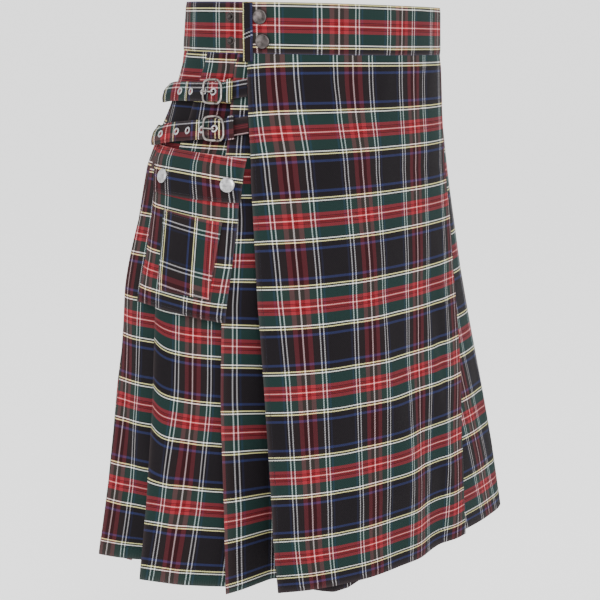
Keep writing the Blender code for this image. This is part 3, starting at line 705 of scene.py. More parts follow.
@dataclass(frozen=True)
class TartanFinish:
    """Twill-woven tartan.

    Fields:
        name: The material's name, which is its slot's too.
        weft_share: How much of the colour the weft gives.
        twill: Pitch of the twill's diagonal ribs.
        yarn: Pitch of the weft's threads, a share of the ribs' pitch.
        roughness: The cloth's roughness.
        sheen: How much light its fuzz catches.
        bump: Height of the ribs.
        sway: How far the weave wanders from a straight line.
        rubbed: Colour of the cloth where it is worn.
    """

    name: str
    weft_share: float = 0.64
    twill: float = 0.0019
    yarn: float = 0.55
    roughness: float = 0.86
    sheen: float = 0.015
    bump: float = 0.00016
    sway: tuple[float, float] = (0.0016, 0.0018)
    rubbed: Colour = linear(92, 80, 80)

    def material(self) -> Material:
        """Builds the material, which reads the cloth's own map.

        Returns:
            The material.
        """
        paint = Paint(self.name)
        cloth = paint.add("UVMap", {}, uv_map="cloth")
        across, down = add_node(paint.tree, "ShaderNodeSeparateXYZ", {0: cloth}).outputs[:2]
        warp = WARP.colour(paint, paint.math("MULTIPLY_ADD", paint.noise(9.0, 2.0),
                                             self.sway[0], across))
        weft = WEFT.colour(paint, paint.math("MULTIPLY_ADD", paint.noise(7.0, 2.0, 3.7),
                                             self.sway[1], down))
        turn = 2 * math.pi / self.twill
        ribs = paint.math("SINE", paint.math("MULTIPLY", paint.math("ADD", across, down), turn))
        yarns = paint.math("SINE", paint.math("MULTIPLY", down,
                                              2 * math.pi / (self.twill * self.yarn)))
        woven = paint.mix(paint.math("MULTIPLY_ADD", ribs, 0.22, self.weft_share), warp, weft)
        dyed = paint.add("Gamma", {0: woven, 1: DYE_POWER})
        patches = paint.spread(paint.noise(14.0, 4.0, 1.3), 0.9, 1.1)
        grain = paint.spread(paint.noise(900.0, 2.0, 5.1), 0.86, 1.14)
        shaded = paint.add("VectorMath", {0: dyed, 3: paint.math("MULTIPLY", patches, grain)},
                           operation="SCALE")
        wear = paint.add("Attribute", {}, 2, attribute_name="wear")
        threads = paint.math("MULTIPLY_ADD", yarns, 0.45, ribs)
        fuzz = paint.math("MULTIPLY_ADD", paint.noise(1500.0, 2.0, 2.9), 0.7, threads)
        return paint.dress(fuzz, self.bump, 0.55, {
            "Base Color": paint.mix(paint.math("MULTIPLY", wear, 0.16), shaded, self.rubbed),
            "Roughness": paint.spread(paint.noise(40.0, 3.0, 8.2), self.roughness - 0.06,
                                      min(1.0, self.roughness + 0.08)),
            "Sheen Weight": self.sheen, "Sheen Roughness": 0.45, "Specular IOR Level": 0.05})


@dataclass(frozen=True)
class ThreadFinish:
    """Sewing thread: two plies twisted together."""

    name: str
    colour: Colour

    def material(self) -> Material:
        """Builds the material.

        Returns:
            The material.
        """
        paint = Paint(self.name)
        plies = paint.noise(2600.0, 2.0, 1.0)
        shadow = tuple(value * 0.7 for value in self.colour[:3]) + (1.0,)
        return paint.dress(plies, 0.0001, 1.0, {
            "Base Color": paint.mix(plies, shadow, self.colour), "Roughness": 0.6,
            "Sheen Weight": 0.04, "Specular IOR Level": 0.15})


@dataclass(frozen=True)
class MetalFinish:
    """Plated metal with fine scratches and a little tarnish.

    Fields:
        name: The material's name.
        bright: Colour where it is polished.
        dull: Colour where it is tarnished.
        roughness: Roughness where it is polished.
        scratch: Depth of the scratches.
    """

    name: str
    bright: Colour
    dull: Colour
    roughness: float
    scratch: float = 0.00006

    def material(self) -> Material:
        """Builds the material.

        Returns:
            The material.
        """
        paint = Paint(self.name)
        cloud = paint.noise(260.0, 5.0, 2.0)
        tarnish = paint.add("MapRange", {0: cloud, 1: 0.35, 2: 0.72})
        brushed = paint.add("Mapping", {"Vector": paint.add("TexCoord", {}, "Object"),
                                        "Scale": (900.0, 900.0, 5200.0)})
        lines = paint.add("TexNoise", {"Vector": brushed, "Scale": 1.0, "Detail": 2.0})
        return paint.dress(lines, self.scratch, 0.25, {
            "Base Color": paint.mix(tarnish, self.bright, self.dull), "Metallic": 1.0,
            "Roughness": paint.spread(cloud, self.roughness, self.roughness + 0.2)})


class Finish(Enum):
    """The finishes of the kilt, each with its record slot's name where it has one."""

    SKIRT = TartanFinish("tartan")
    BAND = TartanFinish("tartan_band", bump=0.00012)
    STRAP = TartanFinish("tartan_strap", bump=0.00014)
    POCKET = TartanFinish("tartan_pocket")
    THREAD = ThreadFinish("dark_thread", linear(17, 16, 28))
    GUNMETAL = MetalFinish("gunmetal", linear(84, 78, 77), linear(42, 39, 38), 0.13)
    BLACKENED = MetalFinish("blackened_metal", linear(58, 53, 52), linear(32, 30, 29), 0.17)
    PEWTER = MetalFinish("pewter", linear(150, 144, 140), linear(84, 78, 75), 0.2)
    SATIN = MetalFinish("silver", linear(184, 183, 184), linear(112, 111, 113), 0.22)


Materials = dict[Finish, Material]


# ---- stitching ----
class Stitcher:
    """Sews rows of stitches: one node tree sets a short thread at each step of a path."""

    def __init__(self) -> None:
        """Builds the node tree."""
        tree = bpy.data.node_groups.new("row_of_stitches", "GeometryNodeTree")
        face = tree.interface
        face.new_socket("Geometry", in_out="INPUT", socket_type="NodeSocketGeometry")
        for name, value in (("Pitch", 0.003), ("Length", 0.0022), ("Radius", 0.0003)):
            socket = face.new_socket(name, in_out="INPUT", socket_type="NodeSocketFloat")
            socket.default_value = value
        face.new_socket("Thread", in_out="INPUT", socket_type="NodeSocketMaterial")
        face.new_socket("Geometry", in_out="OUTPUT", socket_type="NodeSocketGeometry")

        def add(kind: str, feeds: dict[int | str, Feed], out: int | str = 0,
                **settings: str) -> Socket:
            """Adds a node, and gives one of its outputs."""
            return add_node(tree, kind, feeds, **settings).outputs[out]

        entry = tree.nodes.new("NodeGroupInput").outputs
        curve = add("GeometryNodeMeshToCurve", {"Mesh": entry["Geometry"]})
        steps = add("GeometryNodeResampleCurve", {"Curve": curve, "Length": entry["Pitch"]},
                    mode="LENGTH")
        turn = add("FunctionNodeAlignRotationToVector",
                   {"Vector": add("GeometryNodeInputTangent", {})}, axis="X")
        jitter = add("FunctionNodeRandomValue", {2: 0.86, 3: 1.1, "Seed": 11}, 1,
                     data_type="FLOAT")
        bead = add("GeometryNodeMeshUVSphere", {"Segments": 6, "Rings": 5, "Radius": 1.0},
                   "Mesh")
        half = add("ShaderNodeMath", {0: entry["Length"], 1: 0.5}, operation="MULTIPLY")
        size = add("ShaderNodeCombineXYZ", {0: half, 1: entry["Radius"], 2: entry["Radius"]})
        sized = add("GeometryNodeTransform", {"Geometry": bead, "Scale": size})
        sewn = add("GeometryNodeInstanceOnPoints", {"Points": steps, "Instance": sized,
                                                    "Rotation": turn, "Scale": jitter})
        real = add("GeometryNodeRealizeInstances", {0: sewn})
        smooth = add("GeometryNodeSetShadeSmooth", {"Geometry": real})
        coat = add("GeometryNodeSetMaterial", {"Geometry": smooth, "Material": entry["Thread"]})
        add_node(tree, "NodeGroupOutput", {0: coat})
        self.tree = tree
        self.sockets = {item.name: item.identifier for item in face.items_tree
                        if item.in_out == "INPUT"}

    def sew(self, name: str, paths: Sequence[Array], thread: Material, pitch: float = 0.003,
            length: float = 0.0022, radius: float = 0.0003) -> Object:
        """Sews along paths.

        Args:
            name: The piece's name.
            paths: Lines of points, just above the cloth.
            thread: The thread's material.
            pitch: Distance from one stitch to the next.
            length: Length of a stitch.
            radius: Its radius.

        Returns:
            The stitches, as one plain mesh.
        """
        points, edges = [], []
        for path in paths:
            edges += [(i, i + 1) for i in range(len(points), len(points) + len(path) - 1)]
            points += [tuple(point) for point in path]
        data = bpy.data.meshes.new(name + "_paths")
        data.from_pydata(points, edges, [])
        thing = put(name, data)
        sewing = thing.modifiers.new("sewing", "NODES")
        sewing.node_group = self.tree
        for socket, value in (("Pitch", pitch), ("Length", length), ("Radius", radius),
                              ("Thread", thread)):
            sewing[self.sockets[socket]] = value
        made = plain(thing)
        made.name = name
        if not made.materials:
            made.materials.append(thread)
        thing.modifiers.clear()
        thing.data = made
        return thing


def plain(thing: Object) -> bpy.types.Mesh:
    """Bakes an object's modifiers.

    Args:
        thing: The object.

    Returns:
        The mesh that its modifiers make.
    """
    bpy.context.view_layer.update()
    graph = bpy.context.evaluated_depsgraph_get()
    return bpy.data.meshes.new_from_object(thing.evaluated_get(graph))


# ---- the skirt ----
@dataclass(frozen=True)
class Fold:
    """A pleat's folded edge.

    Fields:
        shares: Shares of the way to the back centre, at the waist, hip, thigh and hem.
        stand: How far it stands out at the hem.
        gape: How far the next pleat falls away behind it there.
    """

    shares: Four
    stand: float
    gape: float


@dataclass(frozen=True)
class Check:
    """Where the tartan's lines fall on the face of a pleat.

    Fields:
        red: Distances from the fold to a red warp band, at the waist, hip, thigh and hem.
        weft: Height of a red weft band.
        spacing: Distance to the next one.
        curl: How far the lines climb at the fold, where the cloth rolls over.
        hip: Heights and places down the tartan where the cloth is taken in at the hip.
        lean: How much the lines turn on the thigh, a share of the distance from the fold.
    """

    red: Four
    weft: float
    spacing: float = 0.092
    curl: float = 0.0
    hip: Pairs = ()
    lean: float = 0.0

    def down(self, heights: Array) -> Array:
        """Places down the tartan.

        Args:
            heights: Heights, from the top down.

        Returns:
            The place at each height.
        """
        even = (heights - self.weft) * (WEFT.length / self.spacing)
        if not self.hip:
            return even
        marks, places = np.array(self.hip).T
        return np.where(heights > marks[-1], np.interp(-heights, -marks, places), even)


@dataclass(frozen=True)
class Edge:
    """Girths of the over apron's free and folded edges at a height."""

    height: float
    free: float
    folded: float


@dataclass(frozen=True)
class Line:
    """Distances from the apron's free edge to its four red warp bands at a height."""

    height: float
    first: float
    second: float
    third: float
    fourth: float


@dataclass
class Face:
    """The faces of one pleat at every row: arrays of girths and lifts."""

    start: Array
    start_lift: Array
    front: Array
    front_lift: Array
    edge: Array
    edge_lift: Array

    @property
    def seam(self) -> Array:
        """Girths of the seam that joins two lengths of cloth where the face is hidden."""
        return (self.start + self.front) / 2

    def pick(self, index: object) -> Face:
        """The face with every one of its arrays indexed in the same way."""
        return Face(*(value[index] for value in vars(self).values()))

    def lift(self, girth: Array, curve: float) -> Array:
        """Lift of the face.

        Args:
            girth: Girths on the face.
            curve: How late the shown part rises to the folded edge.

        Returns:
            The lift at each girth.
        """
        hidden = (girth - self.start) / (self.front - self.start)
        below = self.start_lift + (self.front_lift - self.start_lift) * hidden
        shown = np.clip((girth - self.front) / (self.edge - self.front), 0, None)
        above = self.front_lift + (self.edge_lift - self.front_lift) * shown ** curve
        return np.where(girth < self.front, below, above)


BAND_STEP_START, BAND_STEP_WIDTH, BAND_STEP = 0.1938, 0.028, -0.0046


def under_band_lift(girth: Array) -> Array:
    """Lift of the under length of the band, which comes out past the over length's end."""
    share = np.clip((girth - BAND_STEP_START) / BAND_STEP_WIDTH, 0, 1)
    return BAND_STEP * (1 - share * share * (3 - 2 * share))


def soften(values: Array, reach: int = 8) -> Array:
    """Smooths a column of values.

    Args:
        values: The values, whose first and last one stay as they are.
        reach: How many neighbours on each side count.

    Returns:
        The smoothed values.
    """
    head = 2 * values[0] - values[reach:0:-1]
    tail = 2 * values[-1] - values[-2:-reach - 2:-1]
    weights = np.hanning(2 * reach + 3)[1:-1]
    return np.convolve(np.concatenate([head, values, tail]), weights / weights.sum(), "valid")


@dataclass
class Skirt:
    """The two aprons and the pleats between them."""

    materials: Materials
    stitcher: Stitcher
    right_folds: tuple[Fold, ...] = (
        Fold((0.449, 0.39, 0.384, 0.362), 0.009, 0.002),
        Fold((0.54, 0.545, 0.52, 0.498), 0.014, 0.026),
        Fold((0.64, 0.64, 0.64, 0.609), 0.012, 0.008),
        Fold((0.75, 0.75, 0.75, 0.742), 0.008, 0.004),
        Fold((0.86, 0.858, 0.856, 0.852), 0.009, 0.007),
        Fold((0.975, 0.97, 0.962, 0.952), 0.011, 0.008),
    )
    left_folds: tuple[Fold, ...] = (
        Fold((0.325, 0.285, 0.26, 0.25), 0.009, 0.005),
        Fold((0.395, 0.378, 0.372, 0.376), 0.011, 0.005),
        Fold((0.51, 0.5, 0.494, 0.492), 0.012, 0.003),
        Fold((0.625, 0.618, 0.612, 0.614), 0.01, 0.006),
        Fold((0.74, 0.736, 0.732, 0.73), 0.012, 0.004),
        Fold((0.858, 0.856, 0.852, 0.846), 0.01, 0.006),
        Fold((0.975, 0.97, 0.962, 0.955), 0.011, 0.008),
    )
    right_checks: tuple[Check, ...] = (
        Check((-0.0068, -0.0068, -0.0068, -0.0068), -0.051, 0.0915, 0.0,
              ((-0.01, 0.0475), (-0.037, 0.0207), (-0.058, 0.0), (-0.08, -0.0207),
               (-0.1275, -0.0685), (-0.148, -0.0892), (-0.2135, -0.1577), (-0.234, -0.1784)),
              0.1),
        Check((0.028, 0.051, 0.05, 0.034), -0.036, 0.093, 0.013,
              ((-0.01, 0.0447), (-0.034, 0.0207), (-0.054, 0.0), (-0.083, -0.0292),
               (-0.121, -0.0685), (-0.142, -0.0892), (-0.222, -0.1784))),
        Check((-0.02, 0.004, 0.015, 0.0105), -0.027, 0.094, 0.0,
              ((-0.01, 0.041), (-0.03, 0.0207), (-0.051, 0.0), (-0.083, -0.0292),
               (-0.102, -0.06), (-0.127, -0.0892), (-0.151, -0.1099), (-0.197, -0.1577),
               (-0.218, -0.1784), (-0.309, -0.2676))),
        Check((0.034, 0.034, 0.03, 0.026), -0.031, 0.093),
        Check((0.012, 0.012, 0.018, 0.024), -0.042, 0.0925),
        Check((0.038, 0.038, 0.03, 0.023), -0.036, 0.093),
        Check((0.014, 0.014, 0.016, 0.018), -0.03, 0.093),
    )
    left_checks: tuple[Check, ...] = (
        Check((0.07, 0.07, 0.069, 0.045), -0.065, 0.096),
        Check((0.026, 0.026, 0.023, 0.02), -0.056, 0.094),
        Check((0.04, 0.04, 0.036, 0.031), -0.048, 0.093),
        Check((0.018, 0.018, 0.02, 0.024), -0.043, 0.093),
        Check((0.033, 0.033, 0.028, 0.023), -0.036, 0.093),
        Check((0.01, 0.01, 0.015, 0.02), -0.04, 0.093),
        Check((0.036, 0.036, 0.03, 0.024), -0.033, 0.093),
        Check((0.014, 0.014, 0.016, 0.018), -0.03, 0.093),
    )
    apron_edges: tuple[Edge, ...] = (
        Edge(0.026, 0.187, -0.116),
        Edge(-0.09, 0.185, -0.116),
        Edge(-0.13, 0.184, -0.116),
        Edge(-0.217, 0.189, -0.117),
        Edge(-0.3, 0.194, -0.106),
        Edge(-0.374, 0.2, -0.092),
        Edge(-0.461, 0.208, -0.074),
        Edge(-0.529, 0.215, -0.068),
        Edge(-0.6, 0.219, -0.066),
    )
    apron_lines: tuple[Line, ...] = (
        Line(-0.05, 0.0305, 0.115, 0.212, 0.302),
        Line(-0.1, 0.033, 0.122, 0.218, 0.305),
        Line(-0.15, 0.0387, 0.13, 0.221, 0.305),
        Line(-0.25, 0.0437, 0.1325, 0.215, 0.3),
        Line(-0.35, 0.0437, 0.125, 0.201, 0.287),
        Line(-0.45, 0.042, 0.1195, 0.1975, 0.2705),
        Line(-0.55, 0.041, 0.1155, 0.191, 0.2687),
        Line(-0.585, 0.0425, 0.116, 0.1875, 0.265),
    )
    apron_swells: Pairs = (
        (0.0, 0.007), (0.14, 0.007), (0.3, 0.011), (0.42, 0.009), (0.55, 0.006), (0.66, 0.006),
        (0.76, 0.001), (0.84, -0.003), (0.93, 0.001), (1.0, 0.002))
    apron_weft: float = -0.103
    apron_droop: float = 0.0045
    right_split: int = 3
    left_split: int = 4
    overlap_waist: float = 0.009
    overlap_hem: float = 0.03
    first_tuck_waist: float = 0.0052
    first_tuck_hem: float = 0.034
    folded_edge_gape: float = 0.003
    tuck_rise: float = 0.5
    face_curve: float = 1.3
    layer: float = 0.0024
    apron_base: float = 0.001
    under_weft: float = -0.63
    under_red: float = 0.118
    under_sink: float = -0.003
    under_ease: float = 0.032
    under_drop: float = 0.0115
    under_end: float = -0.015
    hem_depth: float = 0.022
    seam_inset: float = 0.005
    raised_pleat: int = 2
    raised_front: float = 0.009
    raised_edge: float = 0.004
    sewn_in: float = 0.002
    closing: float = 0.018
    hem_roll: float = 0.0055
    rub: float = 0.0022
    curl_span: Four = (0.27, 0.33, 0.43, 0.5)
    curl_reach: float = 0.011
    lean_span: Four = (0.2, 0.33, 0.42, 0.56)
    lean_width: float = 0.09
    lean_middle: float = 0.042
    grain: float = 0.0031
    heights: Array = field(init=False)

    def __post_init__(self) -> None:
        """Sets the rows of the cloth."""
        top = FIGURE.waist + self.sewn_in
        count = round((top - FIGURE.hem) / self.grain)
        self.heights = np.linspace(top, FIGURE.hem, count + 1)

    def apron_edge(self, name: str) -> Array:
        """Girths of the over apron's free or folded edge."""
        return soften(column(self.apron_edges, name, self.heights))

    def apron_lift(self, share: Array, heights: Array) -> Array:
        """Lift of the over apron.

        Args:
            share: Shares of the way from its free to its folded edge.
            heights: Heights.

        Returns:
            The lift at each place.
        """
        fine = np.linspace(0, 1, 201)
        line = soften(np.interp(fine, *zip(*self.apron_swells)), 9)
        return self.apron_base + np.interp(share, fine, line) * FIGURE.hang(heights)

    def overlap(self) -> Array:
        """Cloth hidden under each folded edge, at every row."""
        return (self.overlap_waist
                + (self.overlap_hem - self.overlap_waist) * FIGURE.hang(self.heights))

    def by_level(self, *values: float) -> Array:
        """Values at the waist, the hip, the thigh and the hem, as one for every row."""
        levels = (-FIGURE.waist, -FIGURE.hip, -FIGURE.thigh, -FIGURE.hem)
        return soften(np.interp(-self.heights, levels, values))

    def faces(self, side: int) -> list[Face]:
        """The faces of the pleats on a side.

        Args:
            side: 1 for the wearer's right and -1 for the left.

        Returns:
            A face for each pleat, and one more that ends at the back centre.
        """
        heights, hidden = self.heights, self.overlap()
        hang = FIGURE.hang(heights)
        if side > 0:
            start = self.apron_edge("free") - hidden
            start_lift = (-self.first_tuck_waist
                          - (self.first_tuck_hem - self.first_tuck_waist) * hang)
            front = start + hidden
        else:
            front = -self.apron_edge("folded")
            start = front - hidden + self.layer / 2
            start_lift = (self.apron_lift(np.ones(len(heights)), heights) - 2 * self.layer
                          - self.folded_edge_gape * hang)
        front_lift = start_lift
        faces = []
        for fold in self.right_folds if side > 0 else self.left_folds:
            edge = self.by_level(*fold.shares) * FIGURE.half_round(heights)
            face = Face(start, start_lift, front, front_lift, edge, fold.stand * hang)
            faces.append(face)
            slope = face.edge_lift - face.lift(face.edge - hidden, self.face_curve)
            front = face.edge
            start = face.edge - hidden + self.layer / 2
            start_lift = face.edge_lift - slope - 2 * self.layer - fold.gape * hang
            front_lift = start_lift + self.tuck_rise * slope
        back = FIGURE.half_round(heights) - FIGURE.seam / 2
        return faces + [Face(start, start_lift, front, start_lift, back, start_lift)]

    def woven(self) -> Array:
        """Heights for the tartan, which runs straight round the hem's turned edge."""
        return np.maximum(self.heights, FIGURE.hem + self.hem_roll)

    def tuck(self, edge: Array, edge_lift: Array, inner: Array, inner_lift: Array, side: int
             ) -> tuple[Array, Array]:
        """The cloth round a folded edge, back under it and round again into the next face.

        Args:
            edge: Girths of the folded edge.
            edge_lift: Its lifts.
            inner: Girths of the fold inside.
            inner_lift: Lifts of the face that starts there.
            side: 1 where the edge is at the greater girth and -1 where it is at the lesser.

        Returns:
            Girths and lifts, in fifteen columns.
        """
        turn = self.layer / 2
        near, far = edge - side * turn, inner + side * turn
        angles = [math.pi * step / 4 for step in (1, 2, 3)]
        sines = np.array([turn * math.sin(angle) for angle in angles])
        cosines = np.array([turn * math.cos(angle) for angle in angles])
        share = np.linspace(0, 1, 9)
        girth = np.hstack([near[:, None] + side * sines, spread(near, far, 9),
                           far[:, None] - side * sines])
        lift = np.hstack([(edge_lift - turn)[:, None] + cosines,
                          (edge_lift - self.layer)[:, None] * (1 - share)
                          + (inner_lift + self.layer)[:, None] * share,
                          (inner_lift + turn)[:, None] + cosines])
        return girth, lift

    def checked(self, check: Check, away: Array) -> tuple[Array, Array]:
        """Places on the tartan of a pleat's face.

        Args:
            check: Where the tartan's lines fall on it.
            away: Distances from its folded edge, at every row.

        Returns:
            Places across and down the tartan.
        """
        red = self.by_level(*check.red)
        fall = -self.heights[:, None]
        curled = (window(fall, self.curl_span) * check.curl
                  * np.exp(-np.clip(away, 0, None) / self.curl_reach))
        leaned = (window(fall, self.lean_span) * check.lean
                  * (np.clip(away, 0, self.lean_width) - self.lean_middle))
        return away - red[:, None], check.down(self.woven())[:, None] - curled + leaned

    def pleats(self, name: str, side: int, first: int, last: int) -> Object:
        """The pleats from first up to last on a side, as one length of cloth.

        Args:
            name: The piece's name, which is its CAD node's plus an ending.
            side: 1 for the wearer's right and -1 for the left.
            first: The first pleat.
            last: The pleat after the last one.

        Returns:
            The cloth.
        """
        faces = self.faces(side)
        checks = self.right_checks if side > 0 else self.left_checks
        parts = []

        def add(girth: Array, lift: Array, number: int, rubbed: Array | float = 0.0) -> None:
            """Adds columns of the cloth to the face of a pleat."""
            face = faces[number]
            share = np.clip((girth[-1] - face.front[-1]) / (face.edge[-1] - face.front[-1]), 0, 1)
            raised = self.raised_front + (self.raised_edge - self.raised_front) * share
            parts.append((girth, lift, *self.checked(checks[number], face.edge[:, None] - girth),
                          np.broadcast_to(rubbed, girth.shape),
                          raised * (side > 0 and number == self.raised_pleat)))

        def add_face(number: int, begin: Array, end: Array, least: int) -> None:
            """Adds the face of a pleat, which is rubbed near its folded edge."""
            count = max(least, round(float((end - begin).max()) / self.grain))
            folded = number < last
            girth = spread(begin, end - self.layer / 2 if folded else end, count)
            rubbed = np.exp(-(end[:, None] - girth) / self.rub) if folded else 0.0
            add(girth, faces[number].pick(np.s_[:, None]).lift(girth, self.face_curve), number,
                rubbed)

        for number in range(first, last):
            face, following = faces[number], faces[number + 1]
            add_face(number, face.seam + FIGURE.seam / 2 if number == first else face.start,
                     face.edge, 12)
            add(*self.tuck(face.edge, face.edge_lift, face.edge - self.overlap(),
                           following.start_lift, 1), number, 1.0 * (np.arange(15) < 3))
        floor = faces[last]
        add_face(last, floor.start, floor.edge if last == len(faces) - 1
                 else floor.seam - FIGURE.seam / 2, 6)
        girth, *cloth, raised = map(np.hstack, zip(*parts))
        girth = side * girth
        return self.cloth(name, girth, *cloth, drop=-raised * self.near_hem(),
                          band=under_band_lift(girth) if side > 0 else 0.0)

    def near_hem(self) -> Array:
        """0 down to the last stretch above the hem, and 1 at the hem."""
        return ramp(-self.heights, 0.53, -FIGURE.hem)[:, None]

    def sewn(self, lift: Array, height: Array, band: Array | float) -> Array:
        """Lifts that close up at the top, where the band holds every layer of the cloth."""
        share = 0.92 * (1 - ramp(FIGURE.waist - height, 0.0, self.closing))
        return lift + (band - lift) * share

    def cloth(self, name: str, girth: Array, lift: Array, across: Array, down: Array,
              wear: Array, drop: Array | float = 0.0, band: Array | float = 0.0
              ) -> Object:
        """A length of the skirt's cloth, with its creases and its hem.

        Args:
            name: The piece's name.
            girth: Girths, with a row for each height.
            lift: Lifts without the creases.
            across: Places across the tartan.
            down: Places down the tartan.
            wear: How rubbed the cloth is.
            drop: How far the cloth hangs below its row.
            band: Lift of the band that holds it.

        Returns:
            The cloth.
        """
        height = np.broadcast_to(self.heights[:, None], girth.shape)
        lift = self.sewn(lift + DRAPE.lift(girth, height), height, band)
        above = self.heights - FIGURE.hem
        turned_up = 1 + 0.35 * (1 - ramp(above, self.hem_depth - 0.004, self.hem_depth + 0.001))
        turned_up *= 0.8 + 0.2 * ramp(above, 0.0, 0.0035)
        wear = wear + np.exp(-above / 0.003)[:, None]
        return shell(name, FIGURE.place(girth, height - drop, lift),
                     np.stack([across, down], axis=-1), FIGURE.cloth * 0.8 * turned_up[:, None],
                     self.materials[Finish.SKIRT], np.clip(wear, 0, 1))

    def apron_across(self, away: Array) -> Array:
        """Places across the tartan of the over apron.

        Args:
            away: Distances from its free edge, at every row.

        Returns:
            The places.
        """
        lines = np.array([soften(column(self.apron_lines, name, self.heights))
                          for name in ("first", "second", "third", "fourth")])
        before = lines[0] - 0.92 * (lines[1] - lines[0])
        after = lines[3] + (lines[3] - lines[2])
        table = np.vstack([before, lines, after])
        places = (np.arange(6) - 1) * WARP.length
        return np.array([np.interp(row, marks, places) for row, marks in zip(away, table.T)])

    def over_apron(self, name: str) -> Object:
        """The front panel that shows, with its left edge turned under.

        Args:
            name: The piece's name.

        Returns:
            The cloth.
        """
        fall = -self.heights[:, None]
        free, folded = self.apron_edge("free"), self.apron_edge("folded")
        first = self.faces(-1)[0]
        main = spread(free, folded + self.layer / 2, round(0.31 / self.grain))
        share = np.broadcast_to(np.linspace(0, 1, main.shape[1]), main.shape)
        edge_lift = self.apron_lift(np.ones(len(free)), self.heights)
        under, under_lift = self.tuck(folded, edge_lift, folded + self.overlap(),
                                      first.start_lift, -1)
        girth = np.hstack([main, under,
                           spread(-first.start, FIGURE.seam / 2 - first.seam, 4)])
        lift = np.hstack([self.apron_lift(share, -fall), under_lift,
                          np.repeat(first.start_lift[:, None], 4, axis=1)])
        away = free[:, None] - girth
        droop = self.apron_droop * np.exp(-away / 0.03) * (1 - ramp(fall, 0.08, 0.3))
        wear = (np.exp(-np.abs(away) / 0.002)
                + np.exp(-np.abs(girth - folded[:, None]) / self.rub))
        return self.cloth(name, girth, lift, self.apron_across(away),
                          self.woven()[:, None] - self.apron_weft + droop, wear)

    def under_apron(self, name: str) -> Object:
        """The panel under the over apron, sewn to the right pleats.

        Args:
            name: The piece's name.

        Returns:
            The cloth.
        """
        free, folded = self.apron_edge("free"), self.apron_edge("folded")
        first = self.faces(1)[0]
        girth = spread(np.full(len(free), self.under_end), first.seam - FIGURE.seam / 2, 78)
        share = (free[:, None] - girth) / (free - folded)[:, None]
        height = self.heights[:, None]
        lift = (self.apron_lift(np.clip(share, 0, 1), height) + BAND_STEP
                + self.under_sink * FIGURE.hang(height))
        near_seam = np.clip(1 - (first.start[:, None] - girth) / self.under_ease, 0, 1)
        lift = lift + (first.start_lift[:, None] - lift) * near_seam
        shows = np.interp(girth, (0.114, 0.138, 0.165, 0.189), (0.0, 0.8, 1.0, 1.0))
        down = np.broadcast_to((self.woven() - self.under_weft)[:, None], girth.shape)
        return self.cloth(name, girth, lift, girth - self.under_red, down,
                          np.exp(-(girth - self.under_end) / self.rub),
                          self.under_drop * shows * self.near_hem(), BAND_STEP)

    def stitches(self) -> list[Object]:
        """The machine stitching down the apron's free edge and round the hem.

        Returns:
            Both rows.
        """
        free, folded = self.apron_edge("free"), self.apron_edge("folded")
        span = slice(2, len(self.heights) - 2)
        heights = self.heights[span]
        girth = (free - self.seam_inset)[span]
        lift = self.apron_lift((self.seam_inset / (free - folded))[span], heights)
        lift = self.sewn(lift + DRAPE.lift(girth, heights), heights, 0.0)
        edge = FIGURE.place(girth, heights, lift + FIGURE.cloth * 0.41)
        row = int(np.argmin(np.abs(self.heights - FIGURE.hem - self.hem_depth + 0.003)))
        girth = np.linspace(free[row] - 0.002, folded[row] + 0.003, 150)
        share = (free[row] - girth) / (free[row] - folded[row])
        runs = [(girth, self.apron_lift(share, np.full(150, self.heights[row])))]
        for side in (1, -1):
            for face in self.faces(side)[:-1]:
                there = face.pick(row)
                girth = np.linspace(there.front + 0.003, there.edge - 0.003, 60)
                runs.append((side * girth, there.lift(girth, self.face_curve)))
        hem = []
        for girth, lift in runs:
            height = np.full(len(girth), self.heights[row])
            hem.append(FIGURE.place(girth, height, lift + DRAPE.lift(girth, height)
                                    + FIGURE.cloth * 0.55))
        thread = self.materials[Finish.THREAD]
        return [self.stitcher.sew("apron_edge_stitches", [edge], thread),
                self.stitcher.sew("hem_stitches", hem, thread, pitch=0.0046)]

    def build(self) -> None:
        """Makes the skirt's pieces and hides the CAD nodes that each stands for."""
        right, left = len(self.right_folds), len(self.left_folds)
        plan = (
            ("over_apron", (0.372, 0.565), self.over_apron, ()),
            ("under_apron", (0.246, 0.575), self.under_apron, ()),
            ("right_hip_pleats", (0.46, 0.565), self.pleats, (1, 0, self.right_split)),
            ("right_back_pleats", (0.46, 0.565), self.pleats, (1, self.right_split, right)),
            ("left_hip_pleats", (0.6, 0.565), self.pleats, (-1, 0, self.left_split)),
            ("left_back_pleats", (0.46, 0.565), self.pleats, (-1, self.left_split, left)),
        )
        for node, flat, make, which in plan:
            piece = make(f"{node}_cloth", *which)
            settle(piece, node, slot="tartan")
        for row in self.stitches():
            settle(row)


def settle(piece: Object, *nodes: str, slot: Optional[str] = None) -> None:
    """Makes a piece ride with the kilt.

    Args:
        piece: The piece.
        nodes: The CAD nodes that it stands for, where it has any.
        slot: Not used. The name of its record slot, where it has one.
    """
    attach(piece, BODY)
    if nodes:
        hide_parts(*nodes)
    LOG.info("%s: %d faces", piece.name, len(piece.data.polygons))


def scaled(profile: Pairs, radius: float, height: float
           ) -> list[tuple[float, float]]:
    """A profile in shares of a radius and a height, as sizes."""
    return [(radius * out, height * up) for out, up in profile]


# ---- the waistband ----
@dataclass(frozen=True)
class Snap:
    """A snap on the band: its height, and the girths of its cap and of its open half."""

    name: str
    height: float
    cap_girth: float
    stud_girth: float


